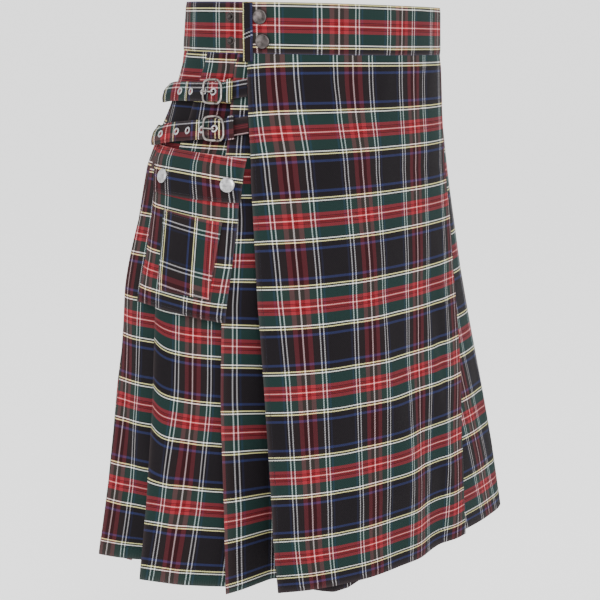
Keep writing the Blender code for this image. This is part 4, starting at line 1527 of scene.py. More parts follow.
@dataclass
class Waistband:
    """The stiffened band, the strip that binds its end, and its snaps."""

    materials: Materials
    stitcher: Stitcher
    thickness: float = 0.003
    end: float = 0.1898
    start: float = -0.055
    binding_front: float = 0.1792
    binding_rear: float = 0.19
    binding_tail: float = 0.008
    cap: float = 0.0077
    cap_height: float = 0.003
    stud: float = 0.0044
    stud_height: float = 0.0026
    cap_profile: Pairs = (
        (0, 0), (0.86, 0), (0.95, 0.1), (1, 0.32), (1, 0.48), (0.975, 0.66), (0.93, 0.78),
        (0.885, 0.79), (0.85, 0.76), (0.8, 0.8), (0.66, 0.88), (0.48, 0.95), (0.25, 0.99),
        (0, 1))
    stud_profile: Pairs = (
        (0, 0), (1, 0), (1, 0.16), (0.92, 0.3), (0.74, 0.3), (0.62, 0.18), (0.5, 0.22),
        (0.42, 0.42), (0.42, 0.6), (0.52, 0.76), (0.5, 0.9), (0.34, 0.98), (0, 1))
    red_lines: tuple[float, ...] = (-0.085, -0.001, 0.0895, 0.176, 0.262)
    under_red: float = 0.205
    under_spacing: float = 0.083
    snaps: tuple[Snap, ...] = (
        Snap("upper", 0.0106, 0.171, 0.2088),
        Snap("lower", -0.0139, 0.1685, 0.208),
    )
    puckers: tuple[Crease, ...] = (
        Crease(0.15, 0.026, -0.026, 0.1, 0.008, -0.0006),
        Crease(0.118, 0.026, -0.026, -0.15, 0.01, 0.0005),
        Crease(0.064, 0.03, -0.02, 0.1, 0.014, -0.0005),
        Crease(0.012, 0.022, -0.03, 0.0, 0.012, 0.0005),
        Crease(-0.06, 0.03, -0.026, 0.12, 0.015, -0.0006),
        Crease(-0.15, 0.028, -0.028, -0.1, 0.014, 0.0006),
        Crease(-0.24, 0.026, -0.024, 0.1, 0.013, -0.0005),
        Crease(-0.33, 0.03, -0.03, 0.0, 0.016, 0.0006),
        Crease(-0.405, 0.024, -0.026, 0.1, 0.012, -0.0005),
        Crease(0.236, 0.028, -0.024, 0.1, 0.011, 0.0005),
        Crease(0.284, 0.026, -0.03, -0.1, 0.013, -0.0005),
        Crease(0.345, 0.03, -0.026, 0.1, 0.014, 0.0006),
        Crease(0.402, 0.026, -0.028, 0.0, 0.012, -0.0005),
    )

    def pucker(self, girth: Array, height: Array) -> Array:
        """How far the band's puckers move it."""
        total = sum(crease.at(girth, height) for crease in self.puckers)
        return total * (1 - ramp(-height, 0.012, 0.026))

    def length(self, name: str, start: Optional[float], end: Optional[float], under: bool
               ) -> Object:
        """A length of the band.

        Args:
            name: The piece's name.
            start: Girth of its left end. None stands for the seam at the back centre.
            end: Girth of its right end, in the same way.
            under: Whether it is the length that lies under the other.

        Returns:
            The cloth.
        """
        heights = np.linspace(FIGURE.top, FIGURE.waist, 19)
        back = FIGURE.half_round(heights) - FIGURE.seam / 2
        first = -back if start is None else np.full(len(heights), start)
        last = back if end is None else np.full(len(heights), end)
        girth = spread(first, last, round(float((last - first).max()) / 0.003))
        height = np.broadcast_to(heights[:, None], girth.shape)
        lift = (under_band_lift(girth) if under else 0.0) + (
            self.pucker(girth, height) * ramp(np.abs(girth - self.end), 0.004, 0.02))
        if under:
            across = (girth - self.under_red) * (WARP.length / self.under_spacing)
            down = height + 0.0025
        else:
            places = (np.arange(len(self.red_lines)) - 3) * WARP.length
            across = np.interp(girth, self.red_lines, places)
            outside = girth < self.red_lines[0]
            across = np.where(outside, (girth - self.red_lines[0]) * 0.92 + places[0], across)
            down = height - 0.0035
        edge = np.minimum(heights[0] - heights, heights - heights[-1])
        full = 0.62 + 0.38 * ramp(edge, 0.0, 0.0045)
        full *= 1 - 0.1 * np.exp(-((edge - 0.0032) / 0.0012) ** 2)
        return shell(name, FIGURE.place(girth, height, lift),
                     np.stack([across, down], axis=-1), self.thickness * full[:, None],
                     self.materials[Finish.BAND], np.exp(-edge / 0.0016)[:, None])

    def binding(self, name: str) -> Object:
        """The folded strip sewn down the band's free end.

        Args:
            name: The piece's name.

        Returns:
            The cloth.
        """
        heights = np.linspace(FIGURE.top - 0.001, FIGURE.waist - self.binding_tail, 22)
        shares = np.linspace(0, 1, 9)
        girth, height = np.broadcast_arrays(
            self.binding_front + (self.binding_rear - self.binding_front) * shares,
            heights[:, None])
        side = np.minimum(shares, 1 - shares)
        lift = (self.thickness / 2 + FIGURE.seam + FIGURE.cloth / 2
                + 0.0004 * ramp(side, 0.05, 0.4)
                + 0.0003 * np.sin(height * 260.0) * ramp(side, 0.0, 0.3))
        away = self.binding_rear - girth
        across = np.maximum(height + 0.0285 - 0.4 * away, 0.013)
        down = 0.75 * away + 0.0207
        return shell(name, FIGURE.place(girth, height, lift), np.stack([across, down], axis=-1),
                     FIGURE.cloth * 0.9, self.materials[Finish.BAND],
                     np.exp(-side / 0.06) * 0.5)

    def snap_parts(self, snap: Snap) -> tuple[Object, Object]:
        """A snap's cap, a low dome with a rolled rim, and its open half with a ball-headed post.

        Args:
            snap: The snap.

        Returns:
            The cap and the open half.
        """
        base = self.thickness / 2 + FIGURE.seam
        cap = turned(f"waist_snap_{snap.name}_cap",
                     (snap.cap_girth, snap.height, lambda girth, height: base + 0 * girth),
                     scaled(self.cap_profile, self.cap, self.cap_height), 40,
                     self.materials[Finish.GUNMETAL])
        stud = turned(f"waist_stud_{snap.name}_post",
                      (snap.stud_girth, snap.height,
                       lambda girth, height: under_band_lift(girth) + base),
                      scaled(self.stud_profile, self.stud, self.stud_height), 32,
                      self.materials[Finish.BLACKENED])
        return cap, stud

    def build(self) -> None:
        """Makes the band's pieces and hides the CAD nodes that each stands for."""
        for node, ends, wide, other in (
                ("waistband_over", (None, self.end), 0.66, "waistband_under"),
                ("waistband_under", (self.start, None), 0.52, "waistband_over")):
            piece = self.length(f"{node}_cloth", *ends, node == "waistband_under")
            settle(piece, node, slot="tartan_band")
        binding = self.binding("band_end_binding_cloth")
        settle(binding, "band_end_binding", slot="tartan_band")
        for snap in self.snaps:
            cap, stud = self.snap_parts(snap)
            settle(cap, f"waist_snap_{snap.name}", slot="gunmetal")
            settle(stud, f"waist_stud_{snap.name}", slot="gunmetal")
        heights = np.linspace(FIGURE.top - 0.002, FIGURE.waist - self.binding_tail + 0.0015, 20)
        lift = self.thickness / 2 + FIGURE.seam + FIGURE.cloth + 0.00005
        rows = [FIGURE.place(girth, heights, lift)
                for girth in (self.binding_front + 0.0013, self.binding_rear - 0.0013)]
        settle(self.stitcher.sew("band_end_stitches", rows, self.materials[Finish.THREAD],
                                 pitch=0.0027, length=0.0019, radius=0.00028))


# ---- the pocket ----
@dataclass(frozen=True)
class Side:
    """The girths of a patch's front and rear side at a height, and its rise to the rear."""

    height: float
    front: float
    rear: float
    rise: float


@dataclass(frozen=True)
class PocketSnap:
    """A snap on the flap."""

    name: str
    girth: float
    height: float


@dataclass
class Pocket:
    """The hip pocket, its centre panel, its flap and their snaps and stitching."""

    materials: Materials
    stitcher: Stitcher
    band: Waistband
    sides: tuple[Side, ...] = (
        Side(-0.142, 0.195, 0.315, 0.004),
        Side(-0.19, 0.203, 0.321, 0.005),
        Side(-0.24, 0.215, 0.33, 0.007),
        Side(-0.293, 0.228, 0.345, 0.01),
    )
    panel_sides: tuple[Side, ...] = (
        Side(-0.19, 0.2175, 0.292, 0.0075),
        Side(-0.272, 0.2405, 0.3055, 0.003),
    )
    flap_sides: tuple[Side, ...] = (
        Side(-0.1268, 0.188, 0.32, 0.006),
        Side(-0.1725, 0.198, 0.311, 0.004),
    )
    cloth: float = 0.0015
    depth: float = 0.004
    flap_ease: float = 0.0115
    stand: float = 0.014
    rub: float = 0.0016
    snaps: tuple[PocketSnap, ...] = (
        PocketSnap("front", 0.208, -0.1565),
        PocketSnap("rear", 0.2905, -0.153),
    )
    cap_profile: Pairs = (
        (0, 0), (0.86, 0), (0.96, 0.12), (1, 0.36), (0.985, 0.56), (0.93, 0.72), (0.84, 0.82),
        (0.66, 0.9), (0.42, 0.97), (0, 1))

    def cover(self, height: Array) -> Array:
        """Lift of a surface that just clears the pleats' folded edges."""
        return self.stand * FIGURE.hang(height) + FIGURE.cloth / 2 + FIGURE.seam

    @staticmethod
    def swell(share: Array, width: float) -> Array:
        """0 at both ends of a span and 1 between."""
        return np.sin(np.minimum(1.0, np.clip(np.minimum(share, 1 - share), 0, 1) / width)
                      * math.pi / 2)

    def body_lift(self, girth: Array, height: Array) -> Array:
        """Lift of the pocket's face.

        Args:
            girth: Girths.
            height: Heights.

        Returns:
            The lift at each place.
        """
        front, rear = column(self.sides, "front", height), column(self.sides, "rear", height)
        across = np.clip((girth - front) / (rear - front), 0, 1)
        down = np.clip((height - self.sides[0].height)
                       / (self.sides[-1].height - self.sides[0].height), 0, 1)
        full = self.swell(across, 0.16) * self.swell(0.1 + 0.9 * down, 0.25)
        return self.cover(height) + self.cloth / 2 + self.depth * full

    def panel_lift(self, girth: Array, height: Array) -> Array:
        """Lift of the centre panel, which lies on the pocket."""
        return self.body_lift(girth, height) + self.cloth + 2 * FIGURE.seam

    def flap_lift(self, girth: Array, height: Array) -> Array:
        """Lift of the flap: sewn down at its top, and lying over the pocket.

        Args:
            girth: Girths.
            height: Heights.

        Returns:
            The lift at each place.
        """
        share = np.clip((self.flap_sides[0].height - height) / self.flap_ease, 0, 1)
        on_skirt = self.cover(height) + FIGURE.cloth / 2
        on_pocket = (self.body_lift(girth, height) + self.cloth / 2 + FIGURE.cloth / 2
                     + 2 * FIGURE.seam)
        return on_skirt + (on_pocket - on_skirt) * share

    def snap_lift(self, girth: Array, height: Array) -> Array:
        """Lift of the snaps, which stand on the flap."""
        return self.flap_lift(girth, height) + FIGURE.cloth / 2 + 2 * FIGURE.seam

    def patch(self, name: str, sides: Sequence[Side], steps: tuple[int, int], lift_at: LiftAt,
              thickness: float, tartan: TartanAt, sewn_top: bool) -> Object:
        """A piece of cloth on the hip, with a turned edge all round.

        Args:
            name: The piece's name.
            sides: Its sides at a few heights.
            steps: Points across and down.
            lift_at: Its lift by girth and height.
            thickness: Its thickness.
            tartan: Place across and down the tartan, by girth and height.
            sewn_top: Whether its upper edge runs into the cloth behind it.

        Returns:
            The cloth.
        """
        top, tall = sides[0], sides[0].height - sides[-1].height
        across, down = np.linspace(0, 1, steps[0]), np.linspace(0, 1, steps[1])[:, None]
        heights = np.linspace(top.height, sides[-1].height, steps[1])
        girth = spread(column(sides, "front", heights), column(sides, "rear", heights), steps[0])
        level = np.broadcast_to(heights[:, None], girth.shape)
        height = level + column(sides, "rise", level) * (across - 0.5)
        lift = lift_at(girth, level) + DRAPE.lift(girth, height)
        near = np.minimum(np.minimum(across, 1 - across) * (top.rear - top.front),
                          np.minimum(down, 1 - down) * tall)
        rounded = 0.66 + 0.34 * ramp(near, 0.0, 0.0026)
        rounded *= 1 - 0.16 * np.exp(-((near - 0.0042) / 0.0011) ** 2)
        if sewn_top:
            rounded *= 0.35 + 0.65 * ramp(down * tall, 0.0, 0.004)
        return shell(name, FIGURE.place(girth, height, lift),
                     np.stack(tartan(girth, height), axis=-1), thickness * rounded,
                     self.materials[Finish.POCKET], np.exp(-near / self.rub))

    def seam_rows(self, sides: Sequence[Side], lift_at: LiftAt, above: float, inset: float,
                  open_top: bool) -> list[Array]:
        """Paths of a row of stitches round a patch.

        Args:
            sides: The patch's sides at a few heights.
            lift_at: Its lift by girth and height.
            above: Height of the stitches over that.
            inset: Their distance from its edges.
            open_top: Whether its top has no row.

        Returns:
            The paths: front, rear, top and foot.
        """
        tall = sides[0].height - sides[-1].height
        high, low = sides[0].height - inset, sides[-1].height + inset
        down = np.linspace(high - 0.02 * tall * open_top, low, 40)
        shares = np.linspace(0, 1, 40)
        runs = [(column(sides, "front", down) + inset, down, -0.5),
                (column(sides, "rear", down) - inset, down, 0.5)]
        for level in (low,) if open_top else (high, low):
            front = column(sides, "front", level) + inset
            rear = column(sides, "rear", level) - inset
            runs.append((front + (rear - front) * shares, np.full(40, level), shares - 0.5))
        rows = []
        for girth, level, share in runs:
            height = level + column(sides, "rise", level) * share
            rows.append(FIGURE.place(girth, height, lift_at(girth, level) + above
                                     + DRAPE.lift(girth, height)))
        return rows

    def body_tartan(self, girth: Array, height: Array) -> tuple[Array, Array]:
        """Place on the tartan of the pocket's body."""
        rear = column(self.sides, "rear", height)
        return (rear - girth) - 0.012, height + 0.1695 - 0.085 * (girth - 0.225)

    def panel_tartan(self, girth: Array, height: Array) -> tuple[Array, Array]:
        """Place on the tartan of the centre panel, whose cloth is turned a quarter turn."""
        from_red = (column(self.panel_sides, "rear", height) - girth) - 0.066
        slant = 0.13 * (girth - 0.22) + 0.108 * (height + 0.195)
        return height + 0.2665 - slant, from_red * (WEFT.length / 0.08)

    def flap_tartan(self, girth: Array, height: Array) -> tuple[Array, Array]:
        """Place on the tartan of the flap."""
        forward = np.clip((0.312 - girth) / 0.12, 0, 1)
        return girth - 0.2264, height + 0.1235 + 0.0078 * forward ** 1.9

    def build(self) -> None:
        """Makes the pocket's pieces and hides the CAD nodes that each stands for."""
        thread = self.materials[Finish.THREAD]
        plan = (
            ("pocket_body", self.sides, (49, 61), self.body_lift, self.cloth, self.body_tartan,
             (0.125, 0.155), "stretched", ["right_hip_pleats"]),
            ("pocket_centre_panel", self.panel_sides, (31, 35), self.panel_lift, self.cloth,
             self.panel_tartan, (0.078, 0.086), "stretched", ["pocket_body"]),
            ("pocket_flap", self.flap_sides, (55, 23), self.flap_lift, FIGURE.cloth,
             self.flap_tartan, (0.136, 0.051), "folded", ["pocket_body", "right_hip_pleats"]),
        )
        for node, sides, steps, lift_at, wall, tartan, flat, held, rests_on in plan:
            piece = self.patch(f"{node}_cloth", sides, steps, lift_at, wall, tartan,
                               node == "pocket_flap")
            settle(piece, node, slot="tartan_pocket")
        for snap in self.snaps:
            cap = turned(f"pocket_snap_{snap.name}_cap", (snap.girth, snap.height, self.snap_lift),
                         scaled(self.cap_profile, self.band.cap, self.band.cap_height), 40,
                         self.materials[Finish.SATIN])
            settle(cap, f"pocket_snap_{snap.name}", slot="silver")
        for name, sides, lift_at, wall, inset, open_top in (
                ("pocket_edge", self.sides, self.body_lift, self.cloth, 0.0042, True),
                ("centre_panel", self.panel_sides, self.panel_lift, self.cloth, 0.0036, False),
                ("flap", self.flap_sides, self.flap_lift, FIGURE.cloth, 0.0038, False)):
            rows = self.seam_rows(sides, lift_at, wall / 2, inset, open_top)
            settle(self.stitcher.sew(f"{name}_stitches", rows, thread))


# ---- the straps ----
@dataclass(frozen=True)
class Strap:
    """A strap: its height, its fall per metre, and the girths of its buckle, rear and holes."""

    name: str
    height: float
    fall: float
    buckle: float
    rear: float
    holes: tuple[float, ...]
    middle: float
    tab_middle: float
    crossings: Pairs

    def tartan(self, girth: Array, offset: Array, middle: float) -> Array:
        """Places on the tartan, which is turned so that its warp runs along the strap.

        Args:
            girth: Girths.
            offset: Distances above the strap's middle.
            middle: Place across the tartan of the strap's middle.

        Returns:
            Places across and down the tartan.
        """
        along = np.interp(girth, *zip(*self.crossings))
        return np.stack(np.broadcast_arrays(middle - offset, along), axis=-1)


@dataclass
class Straps:
    """Two cloth straps from the back of the hip, with their buckles, tabs and keepers."""

    materials: Materials
    stitcher: Stitcher
    skirt: Skirt
    straps: tuple[Strap, ...] = (
        Strap("upper", -0.0655, 0.035, 0.2235, 0.396, (0.2235, 0.2365, 0.2595, 0.282), 0.025,
              0.025,
              ((0.18, -0.1357), (0.231, -0.0847), (0.232, -0.06), (0.43, 0.138))),
        Strap("lower", -0.102, 0.105, 0.221, 0.408, (0.221, 0.2373, 0.2607, 0.28, 0.3046),
              -0.012, -0.009,
              ((0.196, -0.056), (0.2, -0.056), (0.215, -0.067), (0.219, -0.0699),
               (0.228, -0.056), (0.229, -0.0829), (0.243, -0.0699), (0.247, -0.067),
               (0.254, -0.06), (0.26, -0.056), (0.28, -0.0335), (0.285, -0.0212),
               (0.29, -0.0075), (0.2975, 0.0), (0.43, 0.1325))),
    )
    width: float = 0.0195
    thickness: float = 0.0016
    bulge: float = 0.0045
    bulge_place: float = 0.1
    slack: float = 0.0034
    droop: float = 0.0026
    tab_width: float = 0.0175
    keeper_width: float = 0.006
    keeper_place: float = 0.0185
    keeper_cloth: float = 0.001
    half_width: float = 0.0121
    half_height: float = 0.0119
    wire: float = 0.0013
    bar: float = 0.001
    prong: float = 0.0009
    hole: float = 0.0021
    eyelet: float = 0.0041
    eyelet_height: float = 0.0008
    tip: float = 0.02
    tab_rise: float = 0.19
    tab_bend: float = 0.0095
    follow: float = 0.8
    rub: float = 0.0014
    tab_lift: float = field(init=False)
    bar_lift: float = field(init=False)
    tip_lift: float = field(init=False)
    buckled_lift: float = field(init=False)
    raised_lift: float = field(init=False)

    def __post_init__(self) -> None:
        """Stacks up a tab, the bar on it, and the strap over the bar and past it."""
        seam, half = FIGURE.seam, self.thickness / 2
        self.tab_lift = FIGURE.cloth + seam
        on_tab = self.tab_lift + FIGURE.cloth / 2 + seam
        self.bar_lift = on_tab + self.bar
        self.tip_lift = on_tab + half
        self.buckled_lift = self.bar_lift + self.bar + seam + half
        self.raised_lift = self.buckled_lift + half + seam + self.eyelet_height + seam + self.wire

    def creased(self, girth: Array, middle: Array) -> Array:
        """How far the skirt's creases move what is stretched over them."""
        return DRAPE.lift(girth, middle) * self.follow

    def lift(self, strap: Strap, girth: Array) -> Array:
        """Lift of a strap along its length.

        Args:
            strap: The strap.
            girth: Girths.

        Returns:
            The lift of its middle at each.
        """
        away = np.asarray(girth, float) - strap.buckle
        flat = FIGURE.cloth / 2 + FIGURE.seam + self.thickness / 2
        line = np.interp(away, (-0.018, -0.012, 0.0, 0.016, 0.05),
                         (self.tip_lift, self.tip_lift + 0.001, self.buckled_lift,
                          self.buckled_lift, flat))
        return (line + self.bulge * np.exp(-((away - self.bulge_place) / 0.028) ** 2)
                + self.slack * self.loose(strap, girth))

    def loose(self, strap: Strap, girth: Array) -> Array:
        """How loose a strap is, which is most where it turns round the hip."""
        away = np.asarray(girth, float) - strap.buckle
        return np.exp(-((away - self.bulge_place) / 0.022) ** 2)

    def roll(self, strap: Strap, girth: Array, across: Array | float) -> Array:
        """How far a loose strap's edges curl in, for shares across its width from -1 to 1."""
        curl = 0.0038 * ramp(across, 0.2, 1.0) + 0.0016 * ramp(-across, 0.4, 1.0)
        return -curl * self.loose(strap, girth)

    def height(self, strap: Strap, girth: Array) -> Array:
        """Height of the middle of a strap, whose free end climbs with the tab under it.

        Args:
            strap: The strap.
            girth: Girths.

        Returns:
            The height at each.
        """
        away = np.asarray(girth, float) - strap.buckle
        return (strap.height - strap.fall * np.maximum(0.0, away)
                + self.tab_rise * np.maximum(0.0, -self.tab_bend - away)
                - self.droop * self.loose(strap, girth))

    def cloth(self, strap: Strap) -> Object:
        """The strap, with a hole through it at each eyelet.

        Args:
            strap: The strap.

        Returns:
            The cloth.
        """
        count = round((strap.rear - strap.buckle + self.tip) / 0.0022)
        across = np.linspace(1, -1, 11)[:, None]
        girth = np.broadcast_to(np.linspace(strap.buckle - self.tip, strap.rear, count),
                                (11, count))
        offset = across * self.width / 2
        middle = self.height(strap, girth)
        lift = (self.lift(strap, girth) + self.creased(girth, middle)
                + self.roll(strap, girth, across))
        edge = (1 - np.abs(across)) * self.width / 2
        full = 0.6 + 0.4 * ramp(edge, 0.0, 0.0022)
        body = shell(f"strap_{strap.name}_cloth", FIGURE.place(girth, middle + offset, lift),
                     strap.tartan(girth, offset, strap.middle), self.thickness * full,
                     self.materials[Finish.STRAP], np.exp(-edge / self.rub))
        for index, spot in enumerate(strap.holes):
            at = (spot, float(self.height(strap, spot)),
                  lambda girth, height: self.lift(strap, girth))
            cutter = turned(f"cutter_{strap.name}_{index}", at,
                            [(0, -0.004), (self.hole, -0.004), (self.hole, 0.004), (0, 0.004)],
                            16, self.materials[Finish.STRAP])
            punch = body.modifiers.new("punch", "BOOLEAN")
            punch.operation = "DIFFERENCE"
            punch.solver = "EXACT"
            punch.object = cutter
            body.data, old = plain(body), body.data
            body.modifiers.clear()
            bpy.data.objects.remove(cutter, do_unlink=True)
            bpy.data.meshes.remove(old)
        body.data.name = body.name
        return body

    def eyelets(self, strap: Strap) -> Object:
        """The rolled metal rings in a strap's holes.

        Args:
            strap: The strap.

        Returns:
            All the rings, as one piece.
        """
        r, hole, h = self.eyelet, self.hole, self.eyelet_height
        profile = [(hole * 0.97, 0), (r, 0), (r * 0.98, h * 0.45), (r * 0.88, h * 0.86),
                   (r * 0.74, h), (hole * 1.22, h * 0.92), (hole * 1.02, h * 0.55)]

        def top(girth: Array, height: Array) -> Array:
            """Lift of the strap's outer face."""
            return (self.lift(strap, girth) + self.creased(girth, height)
                    + self.thickness / 2 + FIGURE.seam / 2)

        return joined(f"eyelets_{strap.name}", [
            turned(f"ring_{strap.name}_{index}", (girth, float(self.height(strap, girth)), top),
                   profile, 28, self.materials[Finish.SATIN], closed=True)
            for index, girth in enumerate(strap.holes)])

    def buckle(self, strap: Strap) -> list[Object]:
        """The metal of a strap's buckle.

        Args:
            strap: The strap.

        Returns:
            The frame, the bar and the prong.
        """
        steel = self.materials[Finish.PEWTER]
        middle = float(self.height(strap, strap.buckle))
        turn = np.linspace(0, 2 * math.pi, 64, endpoint=False)
        across, upward = (np.sign(wave) * np.abs(wave) ** 0.55
                          for wave in (np.cos(turn), np.sin(turn)))
        lift = self.bar_lift + (self.raised_lift - self.bar_lift) * np.minimum(
            1.0, np.abs(across) / 0.74)
        path = FIGURE.place(strap.buckle + self.half_width * across,
                            middle + self.half_height * upward, lift)
        waist = 1 - 0.14 * np.abs(np.cos(turn)) ** 6
        frame = rod(f"buckle_frame_{strap.name}_wire", path, self.wire * waist, 14, steel,
                    closed=True)
        reach = self.half_height - self.wire - FIGURE.seam
        bar = rod(f"buckle_bar_{strap.name}_rod",
                  FIGURE.place(strap.buckle, middle + reach * np.linspace(-1, 1, 9),
                               self.bar_lift), self.bar, 12, steel)
        over = (self.buckled_lift + self.thickness / 2 + FIGURE.seam + self.eyelet_height
                + FIGURE.seam + self.prong)
        away = (0.0, 0.0, 0.0012, 0.006, self.half_width + 0.0015)
        rise = (self.bar_lift + self.bar + FIGURE.seam, over - 0.0004, over + 0.0006,
                over + 0.0012, self.raised_lift + self.wire + FIGURE.seam + self.prong + 0.0002)
        fine = np.linspace(0, 4, 25)
        prong = rod(f"buckle_prong_{strap.name}_pin",
                    FIGURE.place(strap.buckle + np.interp(fine, range(5), away), middle,
                                 np.interp(fine, range(5), rise)),
                    self.prong * np.interp(fine, (0, 3.6, 4), (1.0, 0.95, 0.6)), 12, steel)
        return [frame, bar, prong]

    def tab(self, strap: Strap) -> Object:
        """The short strip that holds a buckle.

        Args:
            strap: The buckle's strap.

        Returns:
            The cloth.
        """
        start = float(column(self.skirt.apron_edges, "free", strap.height)) + 0.0006
        girth = np.broadcast_to(np.linspace(start, strap.buckle + 0.004, 22), (9, 22))
        across = np.linspace(1, -1, 9)[:, None]
        middle = self.height(strap, np.minimum(girth, strap.buckle))
        offset = across * self.tab_width / 2
        edge = (1 - np.abs(across)) * self.tab_width / 2
        full = 0.66 + 0.34 * ramp(edge, 0.0, 0.002)
        return shell(f"buckle_tab_{strap.name}_cloth",
                     FIGURE.place(girth, middle + offset,
                                  self.tab_lift + self.creased(girth, middle)),
                     strap.tartan(girth, offset, strap.tab_middle), FIGURE.cloth * full,
                     self.materials[Finish.STRAP], np.exp(-edge / self.rub))

    def keeper(self, strap: Strap) -> Object:
        """The loop of cloth that holds a strap's free end down.

        Args:
            strap: The strap.

        Returns:
            The cloth.
        """
        half = self.width / 2 + 0.0012 + self.keeper_cloth / 2
        foot = FIGURE.cloth / 2 + FIGURE.seam + self.keeper_cloth / 2
        crown = self.tip_lift + 0.001 + self.thickness / 2 + FIGURE.seam + self.keeper_cloth / 2
        side = [(half, foot), (half, (foot + crown) / 2), (half, crown - 0.0009),
                (half - 0.00025, crown - 0.00025), (half - 0.0009, crown),
                (half / 2, crown + 0.0001)]
        up, out = np.array([(-x, y) for x, y in side] + [(0, crown + 0.0001)] + side[::-1]).T
        away = np.linspace(-self.keeper_width / 2, self.keeper_width / 2, 6)[:, None]
        girth = strap.buckle - self.keeper_place + away + 0 * up
        return shell(f"keeper_{strap.name}_cloth",
                     FIGURE.place(girth, self.height(strap, girth) + up, out),
                     strap.tartan(girth, up + 0 * girth, strap.middle), self.keeper_cloth * 0.9,
                     self.materials[Finish.STRAP], 0.3)

    def stitch_rows(self, strap: Strap) -> list[Array]:
        """Paths of the stitching along both edges of a strap.

        Args:
            strap: The strap.

        Returns:
            The upper and the lower path.
        """
        girth = np.linspace(strap.buckle - self.tip + 0.002, strap.rear - 0.001, 90)
        middle = self.height(strap, girth)
        return [FIGURE.place(girth, middle + sign * (self.width / 2 - 0.002),
                             self.lift(strap, girth) + self.creased(girth, middle)
                             + self.roll(strap, girth, sign * 0.8) + self.thickness / 2 - 0.00002)
                for sign in (1, -1)]

    def build(self) -> None:
        """Makes the straps' pieces and hides the CAD nodes that each stands for."""
        for strap in self.straps:
            cloth = self.cloth(strap)
            settle(cloth, f"strap_{strap.name}", slot="tartan_strap")
            names = [f"eyelet_{strap.name}_{index + 1}" for index in range(len(strap.holes))]
            settle(self.eyelets(strap), *names, slot="silver")
            for piece, node in zip(self.buckle(strap), ("frame", "bar", "prong")):
                settle(piece, f"buckle_{node}_{strap.name}", slot="gunmetal")
            tab = self.tab(strap)
            settle(tab, f"buckle_tab_{strap.name}", slot="tartan_strap")
            keeper = self.keeper(strap)
            settle(keeper, f"keeper_{strap.name}", slot="tartan_strap")
            sewn = self.stitcher.sew(f"strap_{strap.name}_stitches", self.stitch_rows(strap),
                                     self.materials[Finish.THREAD], pitch=0.0026,
                                     length=0.0018, radius=0.00024)
            settle(sewn)


def joined(name: str, pieces: Sequence[Object]) -> Object:
    """Several objects' meshes as one object.

    Args:
        name: The new piece's name.
        pieces: Objects at the origin, which are used up.

    Returns:
        The object.
    """
    mesh = bmesh.new()
    for piece in pieces:
        mesh.from_mesh(piece.data)
    data = bpy.data.meshes.new(name)
    mesh.to_mesh(data)
    mesh.free()
    finish = pieces[0].data.materials[0]
    for piece in pieces:
        bpy.data.objects.remove(piece, do_unlink=True)
    return link(name, data, finish, 30)


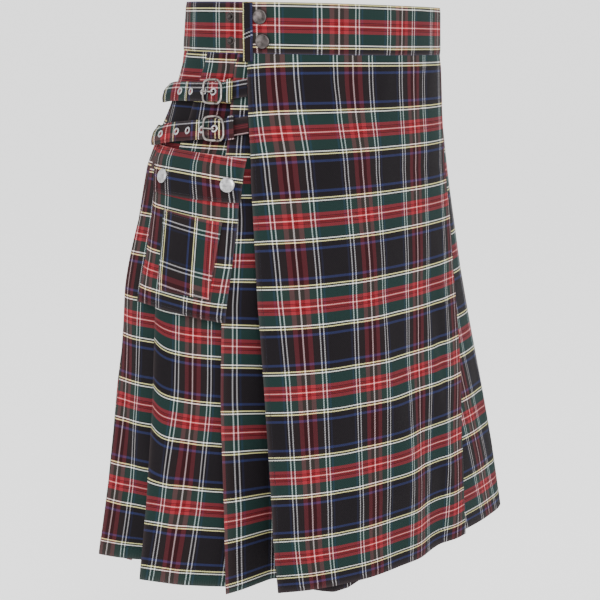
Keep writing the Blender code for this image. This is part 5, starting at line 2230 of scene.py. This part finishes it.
# ---- the studio ----
@dataclass
class Studio:
    """A pale floor, soft lights and the camera."""

    floor_height: float = -1.02
    floor_reach: float = 150.0
    floor_glow: float = 0.12
    surround: float = 1.88
    aim: tuple[float, float, float] = (0.0, 0.0, -0.28)
    turn: float = math.radians(49)
    focal: float = 1335.0
    frame: float = 600.0
    distance: float = 1.535
    aside: float = 0.013
    level: float = 0.003
    look_down: float = math.atan(274 / 1335)

    def floor(self) -> None:
        """The floor, which runs on far past what is seen."""
        finish = bpy.data.materials.new("studio_floor")
        finish.use_nodes = True
        shader = finish.node_tree.nodes["Principled BSDF"]
        shader.inputs["Base Color"].default_value = (0.93, 0.93, 0.93, 1)
        shader.inputs["Roughness"].default_value = 0.9
        shader.inputs["Emission Color"].default_value = (1, 1, 1, 1)
        shader.inputs["Emission Strength"].default_value = self.floor_glow
        data = bpy.data.meshes.new("studio_floor")
        side = self.floor_reach
        data.from_pydata([(x, y, self.floor_height) for x, y in (
            (-side, -side), (side, -side), (side, side), (-side, side))], [], [(0, 1, 2, 3)])
        link("studio_floor", data, finish, 40)

    def light(self, name: str, place: tuple[float, float, float], size: float, power: float
              ) -> None:
        """A soft square light that faces the middle of the kilt.

        Args:
            name: The light's name.
            place: Where it stands.
            size: Its width.
            power: Its power, in watts.
        """
        lamp = bpy.data.lights.new(name, "AREA")
        lamp.shape = "SQUARE"
        lamp.size = size
        lamp.energy = power
        thing = put(name, lamp)
        thing.location = place
        aim = Vector(self.aim) - Vector(place)
        thing.rotation_euler = aim.to_track_quat("-Z", "Y").to_euler()

    def lights(self) -> None:
        """Key, fill and side lights, and a pale surround."""
        self.light("key_light", (-2.1, -2.4, 1.5), 1.2, 85.0)
        self.light("fill_light", (1.8, -2.2, 0.6), 2.2, 30.0)
        self.light("side_light", (-2.6, 0.6, 0.5), 1.8, 28.0)
        world = bpy.data.worlds.new("studio")
        world.use_nodes = True
        background = world.node_tree.nodes["Background"]
        background.inputs["Color"].default_value = (1, 1, 1, 1)
        background.inputs["Strength"].default_value = self.surround
        bpy.context.scene.world = world

    def camera(self) -> None:
        """The camera, at eye level with the waist and looking a little down."""
        lens = bpy.data.cameras.new("camera")
        lens.sensor_width = 36.0
        lens.lens = lens.sensor_width * self.focal / self.frame
        thing = put("camera", lens)
        sine, cosine = math.sin(self.turn), math.cos(self.turn)
        thing.location = (-(self.aside * cosine + self.distance * sine),
                          self.aside * sine - self.distance * cosine, self.level)
        flat = math.cos(self.look_down)
        look = Vector((sine * flat, cosine * flat, -math.sin(self.look_down)))
        thing.rotation_euler = look.to_track_quat("-Z", "Y").to_euler()
        bpy.context.scene.camera = thing

    def build(self) -> None:
        """Makes the studio."""
        self.floor()
        self.lights()
        self.camera()


def main() -> None:
    """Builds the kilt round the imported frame."""
    logging.basicConfig(level=logging.INFO, format="%(name)s: %(message)s")
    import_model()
    Studio().build()
    materials = {finish: finish.value.material() for finish in Finish}
    stitcher = Stitcher()
    skirt = Skirt(materials, stitcher)
    skirt.build()
    band = Waistband(materials, stitcher)
    band.build()
    Pocket(materials, stitcher, band).build()
    Straps(materials, stitcher, skirt).build()
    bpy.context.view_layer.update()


if __name__ == "__main__":
    main()
